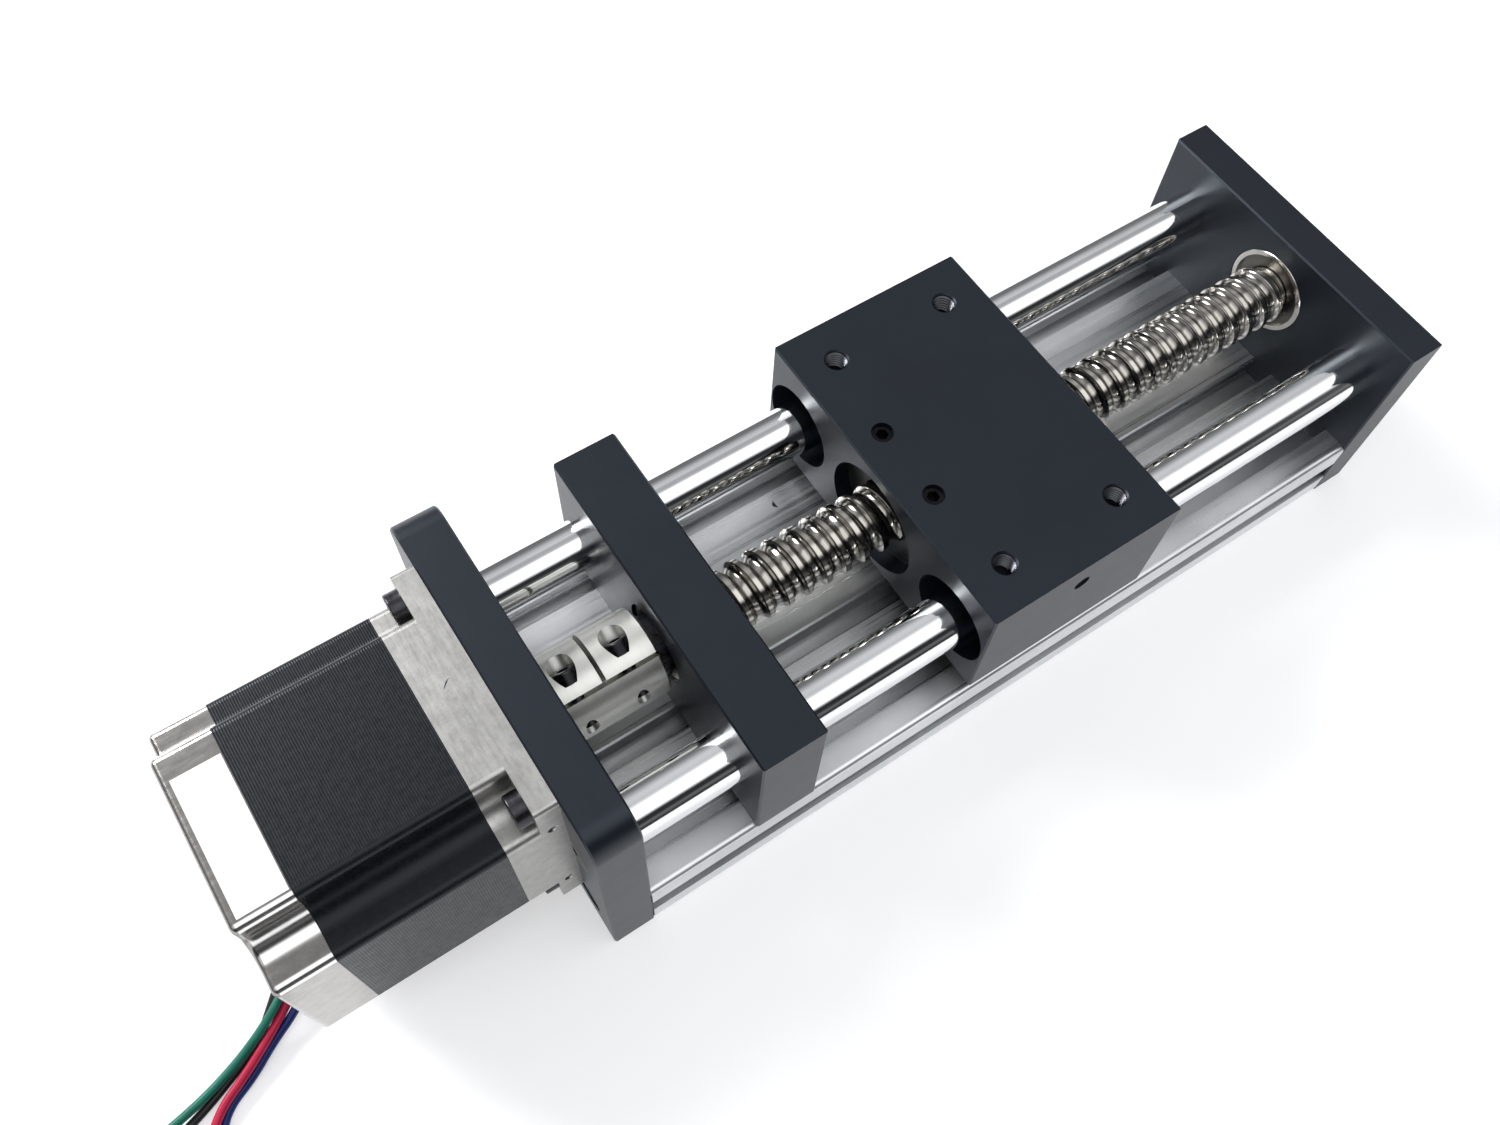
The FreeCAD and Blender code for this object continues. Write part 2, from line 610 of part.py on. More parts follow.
def slider_block():
    half_width = BASE_WIDTH / 2
    block = box(CARRIAGE_X0, CARRIAGE_X1, -half_width, half_width, CARRIAGE_BOTTOM, CARRIAGE_TOP)
    block = chamfer_plate_rims(block, CARRIAGE_X0, CARRIAGE_X1)
    tools = [rod_x(NUT_DIAMETER, CARRIAGE_X0 - 1, CARRIAGE_X1 + 1)]
    for side in SIDES:
        y = side * ROD_Y
        tools.append(rod_x(LINEAR_BEARING_OUTER, CARRIAGE_X0 - 1, CARRIAGE_X1 + 1, y))
        low, high = sorted((side * half_width + side, y))
        tools.append(rod_y(SIDE_HOLE, low, high, CARRIAGE_MID, SIDE_HOLE_HEIGHT))
        tools.append(rod_z(M5, AXIS_HEIGHT, CARRIAGE_TOP + 1, NUT_SCREW_X,
                           side * NUT_SCREW_PITCH / 2))
        for end in SIDES:
            x = CARRIAGE_MID + end * (CARRIAGE_LENGTH / 2 - LOAD_HOLE_INSET)
            hole_y = side * (half_width - LOAD_HOLE_INSET)
            tools.append(rod_z(M5, CARRIAGE_TOP - LOAD_HOLE_DEPTH, CARRIAGE_TOP + 1, x, hole_y))
            tools.append(cone_z(CARRIAGE_TOP - HOLE_CHAMFER, M5, CARRIAGE_TOP,
                                M5 + 2 * HOLE_CHAMFER, x, hole_y))
    return cut_all(block, tools)


def nut_set_screws():
    """Dog point screws that stand in two pockets of the nut, one each side of its axis."""
    top = CARRIAGE_TOP - SET_SCREW_SINK
    screw = set_screw(M5, top - DOG_TIP - DOG_LENGTH, SET_SCREW_SOCKET, DOG_DIAMETER, DOG_LENGTH)
    screw = turned(screw, Vector(0, 0, -1))
    return [placed(screw, NUT_SCREW_X, side * NUT_SCREW_PITCH / 2, top) for side in SIDES]


def side_set_screws():
    """Short screws in the block's sides that hold the linear bearings."""
    start = BASE_WIDTH / 2 - SET_SCREW_SINK
    screw = set_screw(SIDE_HOLE, SIDE_SCREW_LENGTH, SIDE_SCREW_SOCKET)
    return [placed(turned(screw, Vector(0, -side, 0)), CARRIAGE_MID, side * start, SIDE_HOLE_HEIGHT)
            for side in SIDES]


def ball_nut():
    """Nut body with a helical ball track and two pockets for the set screws."""
    bore = SCREW_DIAMETER + 2 * NUT_CLEARANCE
    body = tube_x(NUT_DIAMETER, bore, NUT_X0, NUT_X1)
    track_floor = BALL_CIRCLE / 2 + BALL_DIAMETER / 2 + TRACK_PLAY
    mouth = bore / 2 - TRACK_OVERCUT
    outline = Part.makePolygon([Vector(mouth, 0, -TRACK_MOUTH / 2),
                                Vector(track_floor, 0, -TRACK_FLOOR / 2),
                                Vector(track_floor, 0, TRACK_FLOOR / 2),
                                Vector(mouth, 0, TRACK_MOUTH / 2),
                                Vector(mouth, 0, -TRACK_MOUTH / 2)])
    body = body.cut(helix_groove(TRACK_X0, TRACK_TURNS, outline, mouth))
    for side in SIDES:
        body = body.cut(rod_z(DOG_DIAMETER + DOG_PLAY, DOG_TIP, CARRIAGE_TOP, NUT_SCREW_X,
                              side * NUT_SCREW_PITCH / 2))
    return body.Solids[0]


def nut_balls():
    """Balls in the first part of the track, centred in the screw's groove."""
    radius = BALL_CIRCLE / 2
    turn = math.hypot(2 * math.pi * radius, LEAD)
    count = int(BALL_TURNS * turn / BALL_STEP)
    solids = []
    for i in range(count):
        angle = 2 * math.pi * (BALL_START + i * BALL_STEP / turn)
        x = TRACK_X0 + LEAD * angle / (2 * math.pi)
        centre = Vector(x, radius * math.sin(angle), AXIS_HEIGHT - radius * math.cos(angle))
        solids.append(Part.makeSphere(BALL_DIAMETER / 2, centre))
    return solids


def nut_wipers():
    bore = SCREW_DIAMETER + 2 * WIPER_CLEARANCE
    solids = []
    for x0 in (NUT_X0 - WIPER_THICKNESS, NUT_X1):
        solids.append(tube_x(NUT_DIAMETER, bore, x0, x0 + WIPER_THICKNESS))
    return solids


def linear_sleeve(side):
    half = LINEAR_BEARING_LENGTH / 2
    return tube_x(LINEAR_BEARING_OUTER, LINEAR_CAGE_OUTER, CARRIAGE_MID - half, CARRIAGE_MID + half,
                  side * ROD_Y)


def linear_cages():
    half = LINEAR_BEARING_LENGTH / 2 - LINEAR_CAGE_INSET
    bore = ROD_DIAMETER + 2 * ROD_CLEARANCE
    return [tube_x(LINEAR_CAGE_OUTER, bore, CARRIAGE_MID - half, CARRIAGE_MID + half, side * ROD_Y)
            for side in SIDES]


def motor_hole_places():
    half = MOTOR_HOLE_PITCH / 2
    return [(a * half, AXIS_HEIGHT + b * half) for a in SIDES for b in SIDES]


def notched_square(x0, x1):
    """Motor section: a square with a rounded notch in each corner."""
    half = MOTOR_SIZE / 2
    body = box(x0, x1, -half, half, AXIS_HEIGHT - half, AXIS_HEIGHT + half)
    reach = half + 1
    for a in SIDES:
        for b in SIDES:
            y0, y1 = sorted((a * MOTOR_NOTCH, a * reach))
            z0, z1 = sorted((b * MOTOR_NOTCH, b * reach))
            tool = box(x0 - 1, x1 + 1, y0, y1, AXIS_HEIGHT + z0, AXIS_HEIGHT + z1)
            body = body.cut(tool)

    def inner_corner(edge):
        centre = edge.BoundBox.Center
        return (is_along(edge, Vector(1, 0, 0)) and abs(abs(centre.y) - MOTOR_NOTCH) < 1e-6
                and abs(abs(centre.z - AXIS_HEIGHT) - MOTOR_NOTCH) < 1e-6)

    def outer_corner(edge):
        centre = edge.BoundBox.Center
        return is_along(edge, Vector(1, 0, 0)) and not inner_corner(edge) and (
            abs(abs(centre.y) - half) < 1e-6 or abs(abs(centre.z - AXIS_HEIGHT) - half) < 1e-6)

    body = body.makeFillet(NOTCH_FILLET, edges_where(body, inner_corner))
    return body.makeFillet(NOTCH_EDGE, edges_where(body, outer_corner))


def motor_front_cap():
    """Cast front cap: a square flange with the mounting holes, a notched body and a pilot."""
    half = MOTOR_SIZE / 2
    flange = box(MOTOR_FACE - FLANGE_THICKNESS, MOTOR_FACE, -half, half,
                 AXIS_HEIGHT - half, AXIS_HEIGHT + half)
    corners = edges_where(flange, lambda e: is_along(e, Vector(1, 0, 0)))
    flange = flange.makeFillet(FLANGE_CORNER, corners)
    body = notched_square(FRONT_CAP_X0, MOTOR_FACE - FLANGE_THICKNESS)
    pilot = rod_x(PILOT_DIAMETER, MOTOR_FACE, MOTOR_FACE + PILOT_LENGTH)
    cap = join(flange, body, pilot)
    tools = [rod_x(FLANGE_HOLE, MOTOR_FACE - FLANGE_THICKNESS - 1, MOTOR_FACE + 1, y, z)
             for y, z in motor_hole_places()]
    seat = MOTOR_BEARINGS[1]
    tools.append(rod_x(BEARING_OUTER, seat, seat + BEARING_WIDTH))
    tools.append(rod_x(ROTOR_POCKET, FRONT_CAP_X0 - 1, seat))
    tools += tie_bolt_holes(FRONT_CAP_X0 - 1, FRONT_CAP_X0 + TIE_BOLT_GRIP)
    tools.append(rod_x(COLLAR_DIAMETER, seat, MOTOR_FACE + PILOT_LENGTH + 1))
    for side in SIDES:
        for dimple_side in SIDES:
            tools.append(Part.makeSphere(DIMPLE_DIAMETER / 2, Vector(
                MOTOR_FACE - DIMPLE_INSET, side * (half + DIMPLE_PROUD),
                AXIS_HEIGHT + dimple_side * DIMPLE_RISE)))
    return cut_all(cap, tools)


def motor_stack():
    stack = notched_square(STACK_X0, FRONT_CAP_X0)
    tools = [rod_x(ROTOR_DIAMETER + 2 * ROTOR_GAP, STACK_X0 - 1, FRONT_CAP_X0 + 1)]
    tools += tie_bolt_holes(STACK_X0 - 1, FRONT_CAP_X0 + 1)
    return cut_all(stack, tools)


def tie_bolt_places():
    return [(a * TIE_BOLT_OFFSET, AXIS_HEIGHT + b * TIE_BOLT_OFFSET) for a in SIDES for b in SIDES]


def tie_bolt_holes(x0, x1):
    return [rod_x(M3, x0, x1, y, z) for y, z in tie_bolt_places()]


def motor_rear_cap():
    """Cast rear cap with rounded rear edges, bolt recesses and the lead opening below."""
    cap = notched_square(REAR_X0, STACK_X0)

    def rear_rim(edge):
        return edge.BoundBox.XLength < 1e-6 and abs(edge.BoundBox.XMin - REAR_X0) < 1e-6

    cap = cap.makeFillet(REAR_RIM, edges_where(cap, rear_rim))
    seat = MOTOR_BEARINGS[0]
    tools = [rod_x(BEARING_OUTER, seat, seat + BEARING_WIDTH),
             rod_x(ROTOR_POCKET, seat + BEARING_WIDTH, STACK_X0 + 1)]
    tools += tie_bolt_holes(REAR_X0 - 1, STACK_X0 + 1)
    for y, z in tie_bolt_places():
        tools.append(rod_x(TIE_BOLT_RECESS, REAR_X0 - 1, REAR_X0 + TIE_BOLT_HEAD_DEPTH, y, z))
    tools.append(grommet_block(MOTOR_BOTTOM - 1))
    return cut_all(cap, tools)


def grommet_block(bottom):
    half_x = GROMMET_LENGTH / 2
    half_y = GROMMET_WIDTH / 2
    return box(GROMMET_X - half_x, GROMMET_X + half_x, -half_y, half_y, bottom,
               MOTOR_BOTTOM + GROMMET_DEPTH)


def motor_grommet():
    """Rubber block that closes the lead opening and stands a little proud of it."""
    block = grommet_block(MOTOR_BOTTOM - GROMMET_STANDS_OUT)
    low = edges_where(block, lambda e: e.BoundBox.ZMax < MOTOR_BOTTOM)
    return block.makeChamfer(GROMMET_CHAMFER, low)


def motor_tie_bolts():
    """Long bolts that hold the caps and the stack together, heads sunk in the rear cap."""
    seat = REAR_X0 + TIE_BOLT_HEAD_DEPTH
    screw = cap_screw(M3, FRONT_CAP_X0 + TIE_BOLT_GRIP - seat)
    return [placed(screw, seat, y, z) for y, z in tie_bolt_places()]


def motor_mount_screws():
    screw = cap_screw(M4, MOTOR_SCREW_LENGTH)
    return [placed(screw, MOTOR_FACE - FLANGE_THICKNESS, y, z) for y, z in motor_hole_places()]


def motor_rotor():
    """Shaft with its rotor, one turned piece here."""
    x_mid = (STACK_X0 + FRONT_CAP_X0) / 2
    shaft = rod_x(JOURNAL_DIAMETER, MOTOR_BEARINGS[0], MOTOR_FACE + MOTOR_SHAFT_REACH)
    rotor = rod_x(ROTOR_DIAMETER, x_mid - ROTOR_LENGTH / 2, x_mid + ROTOR_LENGTH / 2)
    return join(shaft, rotor)


def motor_label():
    """Blank label on top of the rear cap."""
    top = AXIS_HEIGHT + MOTOR_SIZE / 2
    x1 = STACK_X0 - LABEL_GAP
    return box(x1 - LABEL_WIDTH, x1, LABEL_START, LABEL_START + LABEL_LENGTH, top,
               top + LABEL_THICKNESS)


def lead_wires():
    """Routes of the four motor leads, from the grommet's face to the edge of each coil."""
    face = MOTOR_BOTTOM - GROMMET_STANDS_OUT
    starts = [(GROMMET_X, LEAD_PITCH * (1.5 - i), face) for i in range(4)]
    on_table = LEAD_WIRE / 2
    below = [(x, y, z - LEAD_DROP) for x, y, z in starts]
    black = [starts[0], below[0], (-165.6, 0.2, 6.0), (-170.9, -6.0, 5.4),
             (-176.5, -11.7, 4.6), (-183.5, -17.9, 2.2), (-190.8, -20.6, 1.3),
             (-197.6, -23.3, on_table), (-205.6, -25.8, on_table), (-213.0, -26.5, on_table)]
    green = [starts[1], below[1], (-165.1, -2.1, 6.4), (-170.1, -7.9, 6.5),
             (-175.5, -13.6, 6.8), (-183.6, -17.7, 4.9), (-191.6, -20.4, 3.4),
             (-199.0, -22.3, 2.8), (-208.0, -23.5, 1.6), (-219.0, -23.5, on_table),
             (-230.5, -22.6, on_table), (-241.0, -23.1, on_table)]
    red = [starts[2], below[2], (-164.9, -4.9, 5.9), (-169.5, -10.2, 5.5),
           (-175.0, -14.8, 5.2), (-182.0, -19.1, 4.3), (-188.2, -22.4, 3.3),
           (-194.6, -25.4, 2.9), (-199.6, -30.5, 2.2), (-202.0, -38.5, on_table),
           (-202.4, -48.0, on_table), (-202.0, -56.0, on_table), (-201.9, -63.0, on_table)]
    blue = [starts[3], below[3], (-164.6, -7.8, 5.9), (-168.7, -12.4, 5.0),
            (-174.1, -16.6, 4.5), (-181.2, -19.4, 2.3), (-187.1, -23.0, 1.5),
            (-194.0, -25.7, on_table), (-197.4, -30.8, on_table), (-198.9, -37.5, on_table),
            (-198.6, -44.0, on_table), (-198.2, -49.5, on_table)]
    return {"black": black, "green": green, "red": red, "blue": blue}


COIL_CENTRES = {"black": (-218.0, -38.6), "green": (-246.0, -35.2),
                "red": (-214.0, -68.0), "blue": (-186.1, -54.0)}


def lead_path(points):
    """Straight runs joined by tangent arcs; returns the wire and the smallest radius."""
    corners = [Vector(*point) for point in points]
    edges = []
    radii = []
    start = corners[0]
    for before, corner, after in zip(corners, corners[1:], corners[2:]):
        back = before - corner
        ahead = after - corner
        reach = 0.45 * min(back.Length, ahead.Length)
        turn = math.pi - back.getAngle(ahead)
        radius = reach / math.tan(turn / 2)
        radii.append(radius)
        back.normalize()
        ahead.normalize()
        entry = corner + back * reach
        leave = corner + ahead * reach
        bisector = (back + ahead).normalize()
        middle = corner + bisector * (radius / math.cos(turn / 2) - radius)
        edges.append(Part.LineSegment(start, entry).toShape())
        edges.append(Part.Arc(entry, middle, leave).toShape())
        start = leave
    edges.append(Part.LineSegment(start, corners[-1]).toShape())
    return Part.Wire(edges), min(radii)


def lead_tube(name, points):
    """Round tube along a lead's route; its volume is compared with section times length."""
    path, smallest = lead_path(points)
    heading = (Vector(*points[1]) - Vector(*points[0])).normalize()
    section = Part.Wire(Part.makeCircle(LEAD_WIRE / 2, Vector(*points[0]), heading))
    tube = path.makePipeShell([section], True, False)
    expected = math.pi * LEAD_WIRE ** 2 / 4 * path.Length
    print(f"lead {name}: length {path.Length:.1f}, smallest radius {smallest:.1f}, "
          f"volume ratio {tube.Volume / expected:.4f}, left to coil {LEAD_LENGTH - path.Length:.1f}")
    return tube


def lead_coil(name):
    """Outer shape of one lead's coil, lying on the table."""
    half = COIL_TURNS_PER_LAYER * LEAD_WIRE / 2 + LEAD_WIRE / 2
    x, y = COIL_CENTRES[name]
    height = COIL_LAYERS * LEAD_WIRE
    outer = rod_z(2 * (COIL_MID_RADIUS + half), 0, height, x, y)
    return outer.cut(rod_z(2 * (COIL_MID_RADIUS - half), -1, height + 1, x, y))


def export(name, shapes):
    solids = shapes if isinstance(shapes, list) else [shapes]
    found = [solid for shape in solids for solid in shape.Solids]
    shape = found[0] if len(found) == 1 else Part.Compound(found)
    print(f"{name}: solids {len(found)}, valid {shape.isValid()}, volume {shape.Volume:.1f}")
    shape.exportStep(f"parts/{name}.step")


def main():
    os.makedirs("parts", exist_ok=True)
    export("base_extrusion", base_extrusion())
    export("motor_plate", motor_plate())
    export("bearing_block", bearing_block())
    export("end_plate", end_plate())
    export("guide_rod_left", guide_rod(1))
    export("guide_rod_right", guide_rod(-1))
    export("plate_screws", plate_screws())
    export("rod_screws", rod_screws())
    export("block_screws", block_screws())
    export("drive_bearing_outer", [outer_ring(x) for x in DRIVE_BEARINGS])
    export("drive_bearing_inner", [inner_ring(x) for x in DRIVE_BEARINGS])
    export("drive_bearing_shields", sum([shields(x) for x in DRIVE_BEARINGS], []))
    export("end_bearing_outer", outer_ring(END_BEARING))
    export("end_bearing_inner", inner_ring(END_BEARING))
    export("end_bearing_shields", shields(END_BEARING))
    export("ball_screw", ball_screw())
    export("lock_nut", lock_nut())
    export("coupling", coupling())
    export("coupling_screws", coupling_screws())
    export("slider_block", slider_block())
    export("ball_nut", ball_nut())
    export("nut_balls", nut_balls())
    export("nut_wipers", nut_wipers())
    export("nut_set_screws", nut_set_screws())
    export("linear_sleeve_left", linear_sleeve(1))
    export("linear_sleeve_right", linear_sleeve(-1))
    export("linear_cages", linear_cages())
    export("side_set_screws", side_set_screws())
    export("motor_front_cap", motor_front_cap())
    export("motor_stack", motor_stack())
    export("motor_rear_cap", motor_rear_cap())
    export("motor_label", motor_label())
    export("motor_grommet", motor_grommet())
    export("motor_tie_bolts", motor_tie_bolts())
    export("motor_mount_screws", motor_mount_screws())
    export("motor_rotor", motor_rotor())
    export("motor_bearing_outer", [outer_ring(x) for x in MOTOR_BEARINGS])
    export("motor_bearing_inner", [inner_ring(x) for x in MOTOR_BEARINGS])
    for name, points in lead_wires().items():
        export(f"lead_{name}", lead_tube(name, points))
        export(f"lead_{name}_coil", lead_coil(name))


main()
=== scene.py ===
# %% [markdown]
# # Dressing a ball screw slide
# The object is a motor-driven slide. A motor turns a ball screw, and the screw pushes
# a carriage along two chromed rods above an aluminium extrusion.
# The rigid parts are already modelled to size, so this script adds what they lack:
# finishes, the four loose motor leads, small surface details, light and a camera.
# Everything is in metres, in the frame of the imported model.

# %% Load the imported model
import math

import bpy
from mathutils import Matrix, Vector


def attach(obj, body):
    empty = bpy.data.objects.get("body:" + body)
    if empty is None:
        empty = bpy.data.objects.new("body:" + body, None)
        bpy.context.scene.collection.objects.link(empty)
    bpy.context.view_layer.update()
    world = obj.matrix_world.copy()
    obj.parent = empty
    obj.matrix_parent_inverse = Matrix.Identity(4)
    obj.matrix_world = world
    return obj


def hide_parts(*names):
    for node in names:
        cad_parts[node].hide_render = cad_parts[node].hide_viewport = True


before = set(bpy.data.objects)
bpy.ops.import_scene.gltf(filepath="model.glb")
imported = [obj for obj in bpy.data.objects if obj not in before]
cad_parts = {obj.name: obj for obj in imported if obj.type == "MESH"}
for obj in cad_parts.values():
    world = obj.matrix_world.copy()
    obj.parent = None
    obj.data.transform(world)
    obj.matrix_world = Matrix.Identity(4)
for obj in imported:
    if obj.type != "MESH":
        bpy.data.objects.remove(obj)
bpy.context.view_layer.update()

# %% [markdown]
# ## The camera
# The photograph looks steeply down on the slide from above the motor end. Its lens and
# place were worked out from edges whose real positions are known, such as the rods and
# the corners of the plates. A camera looks along its own -Z axis, so the columns of its
# rotation are: right in the picture, up in the picture, and back towards the viewer.

# %% Place the camera
RIGHT = Vector((0.8296092, -0.5565446, 0.0447965))
DOWN = Vector((-0.4754294, -0.7462033, -0.465991))
FORWARD = Vector((0.2927721, 0.3652929, -0.8836547))
CAMERA_PLACE = Vector((-0.128391, -0.101726, 0.298086))
FOCAL_LENGTH = 32.1409

lens = bpy.data.cameras.new("camera")
lens.sensor_fit = "HORIZONTAL"
lens.sensor_width = 36.0
lens.lens = FOCAL_LENGTH
lens.shift_x = -0.013942
lens.shift_y = -0.006978
lens.clip_start = 0.01
camera = bpy.data.objects.new("camera", lens)
turn = Matrix((RIGHT, -DOWN, -FORWARD)).transposed().to_4x4()
camera.matrix_world = Matrix.Translation(CAMERA_PLACE) @ turn
bpy.context.scene.collection.objects.link(camera)
bpy.context.scene.camera = camera
print("camera stands", round(camera.location.z, 3), "m above the table")

# %% [markdown]
# ## The four leads
# Four thin wires leave a rubber grommet under the motor's rear casting. They drop to the
# table, run out in loose curves and cross each other, and the rest of each wire is wound
# into a small coil. A wire is a curve with a round bevel. A NURBS curve only leans
# towards its points, so a few points give the smooth line that a springy wire takes.

# %% Measures of a lead
WIRE = 0.0019
TABLE = WIRE / 2
STEPS_PER_TURN = 16
# A quadratic spline runs inside its points, at this share of their radius
SPLINE_INSET = math.cos(math.pi / STEPS_PER_TURN)


def point(x, y, z=None):
    """A point given in millimetres, on the table when z is left out."""
    return Vector((x / 1000, y / 1000, TABLE if z is None else z / 1000))


# %% [markdown]
# The coil is a flat spiral of two layers. It winds inwards on the table, climbs on the
# inside, and winds outwards on top, which is how a wire is put away by hand.

# %% Wind a coil
OUTER_TURN = 0.0121
TURNS_BELOW = 2.0
INNER_TURN = OUTER_TURN - TURNS_BELOW * WIRE
# The climb from the lower layer to the upper one, in turns
CLIMB_START, CLIMB_LENGTH = 1.85, 0.3


def coil_radius(turns):
    """Mid radius after a number of turns: inwards below, outwards above."""
    if turns < TURNS_BELOW:
        return OUTER_TURN - WIRE * turns
    return INNER_TURN + WIRE * (turns - TURNS_BELOW)


def coil_points(centre, start_angle, sense, turns):
    """Points of a two-layer coil round a centre, sense +1 for counter-clockwise."""
    points = []
    for step in range(int(turns * STEPS_PER_TURN) + 1):
        wound = step / STEPS_PER_TURN
        angle = start_angle + sense * 2 * math.pi * wound
        reach = coil_radius(wound) / SPLINE_INSET
        climb = min(max((wound - CLIMB_START) / CLIMB_LENGTH, 0.0), 1.0)
        points.append(
            centre
            + Vector((math.cos(angle) * reach, math.sin(angle) * reach, climb * WIRE))
        )
    return points


# %% [markdown]
# Each route starts inside the grommet's mouth, drops straight for a few millimetres and
# then follows what the picture shows. The black wire runs under the green one, and the
# red one lies over the blue one.

# %% Routes of the leads
ROUTES = {
    "black": [
        point(-162.0, 4.05, 10.8), point(-162.0, 4.05, 7.4), point(-165.6, 0.2, 6.0),
        point(-170.9, -6.0, 5.4), point(-176.5, -11.7, 4.6), point(-183.5, -17.9, 2.2),
        point(-190.8, -20.6, 1.3), point(-197.6, -23.3), point(-205.6, -25.8),
        point(-213.0, -26.5),
    ],
    "green": [
        point(-162.0, 1.35, 10.8), point(-162.0, 1.35, 7.4), point(-165.1, -2.1, 6.4),
        point(-170.1, -7.9, 6.5), point(-175.5, -13.6, 6.8), point(-183.6, -17.7, 4.9),
        point(-191.6, -20.4, 3.4), point(-199.0, -22.3, 2.8), point(-208.0, -23.5, 1.6),
        point(-219.0, -23.5), point(-230.5, -22.6), point(-241.0, -23.1),
    ],
    "red": [
        point(-162.0, -1.35, 10.8), point(-162.0, -1.35, 7.4), point(-164.9, -4.9, 5.9),
        point(-169.5, -10.2, 5.5), point(-175.0, -14.8, 5.2), point(-182.0, -19.1, 4.3),
        point(-188.2, -22.4, 3.3), point(-194.6, -25.4, 2.9), point(-199.6, -30.5, 2.2),
        point(-202.0, -38.5), point(-202.4, -48.0), point(-202.0, -56.0),
        point(-201.9, -63.0),
    ],
    "blue": [
        point(-162.0, -4.05, 10.8), point(-162.0, -4.05, 7.4), point(-164.6, -7.8, 5.9),
        point(-168.7, -12.4, 5.0), point(-174.1, -16.6, 4.5), point(-181.2, -19.4, 2.3),
        point(-187.1, -23.0, 1.5), point(-194.0, -25.7), point(-197.4, -30.8),
        point(-198.9, -37.5), point(-198.6, -44.0), point(-198.2, -49.5),
    ],
}
# Each coil's centre, the angle at which the wire meets it, its sense and its turns
COILS = {
    "black": (point(-218.0, -38.6), math.radians(90), 1, 3.6875),
    "green": (point(-246.0, -35.2), math.radians(90), 1, 3.3125),
    "red": (point(-214.0, -68.0), math.radians(0), -1, 3.4375),
    "blue": (point(-186.1, -54.0), math.radians(180), 1, 3.6875),
}


def run_length(points):
    """Sum of the straight runs between points."""
    return sum((b - a).length for a, b in zip(points, points[1:]))


# %% Make the leads
def wire_curve(name, points):
    """A round wire along a NURBS line; its bevel of 1 is scaled by each point's radius."""
    curve = bpy.data.curves.new(name, "CURVE")
    curve.dimensions = "3D"
    curve.bevel_depth = 1.0
    curve.bevel_resolution = 5
    curve.use_fill_caps = True
    spline = curve.splines.new("NURBS")
    spline.points.add(len(points) - 1)
    for control, place in zip(spline.points, points):
        control.co = (*place, 1.0)
        control.radius = WIRE / 2
    spline.order_u = 3
    spline.use_endpoint_u = True
    spline.resolution_u = 6
    made = bpy.data.objects.new(name, curve)
    bpy.context.scene.collection.objects.link(made)
    return made


leads = {}
for colour, route in ROUTES.items():
    centre, meets, sense, turns = COILS[colour]
    wire = wire_curve(f"{colour}_wire", route + coil_points(centre, meets, sense, turns))
    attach(wire, "frame")
    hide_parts(f"lead_{colour}", f"lead_{colour}_coil")
    leads[colour] = wire
    route_mm = round(run_length(route) * 1000)
    print(colour, "lead:", route_mm, "mm of route, then", turns, "turns")

# %% [markdown]
# ## Building finishes from nodes
# A finish is a small network: a pattern in the object's own space, a shader that uses it,
# and a bump that makes light catch it. Object space is in metres, and it travels with
# the part, so the grain stays put when the carriage moves. These helpers keep each
# finish to a few lines.

# %% Node helpers
def node(finish, kind, sockets=None, **settings):
    """Adds a node to a finish or a sky, sets its options and then its unlinked sockets."""
    made = finish.node_tree.nodes.new(kind)
    for name, value in settings.items():
        setattr(made, name, value)
    for name, value in (sockets or {}).items():
        made.inputs[name].default_value = value
    return made


def join(finish, source, target):
    finish.node_tree.links.new(source, target)


def new_finish(name, **sockets):
    """A material with one main shader, whose constant sockets are set on the shader."""
    finish = bpy.data.materials.new(name)
    finish.use_nodes = True
    shader = finish.node_tree.nodes["Principled BSDF"]
    for socket, value in sockets.items():
        shader.inputs[socket.replace("_", " ")].default_value = value
    return finish, shader


def noise(finish, size, stretch=(1.0, 1.0, 1.0), detail=4.0, rough=0.6):
    """Cloudy pattern from 0 to 1, with features of about this size in metres."""
    coords = node(finish, "ShaderNodeTexCoord")
    mapping = node(finish, "ShaderNodeMapping", {"Scale": stretch})
    cloud = node(
        finish,
        "ShaderNodeTexNoise",
        {"Scale": 1.0 / size, "Detail": detail, "Roughness": rough},
    )
    join(finish, coords.outputs["Object"], mapping.inputs["Vector"])
    join(finish, mapping.outputs["Vector"], cloud.inputs["Vector"])
    return cloud.outputs["Fac"]


def between(finish, pattern, low, high, start=0.35, end=0.65):
    """Turns a pattern into numbers from low to high."""
    spread = node(
        finish,
        "ShaderNodeMapRange",
        {"From Min": start, "From Max": end, "To Min": low, "To Max": high},
    )
    join(finish, pattern, spread.inputs["Value"])
    return spread.outputs["Result"]


def blend_colours(finish, pattern, first, second, start=0.35, end=0.65):
    """Turns a pattern into a colour between two colours."""
    mix = node(finish, "ShaderNodeMix", data_type="RGBA")
    mix.inputs[6].default_value = (*first, 1.0)
    mix.inputs[7].default_value = (*second, 1.0)
    join(finish, between(finish, pattern, 0.0, 1.0, start, end), mix.inputs[0])
    return mix.outputs[2]


def raise_surface(finish, shader, pattern, depth, strength=1.0, under=None):
    """Adds relief of this depth in metres, on top of another relief if there is one."""
    bump = node(finish, "ShaderNodeBump", {"Strength": strength, "Distance": depth})
    join(finish, pattern, bump.inputs["Height"])
    if under is not None:
        join(finish, under, bump.inputs["Normal"])
    join(finish, bump.outputs["Normal"], shader.inputs["Normal"])
    return bump.outputs["Normal"]


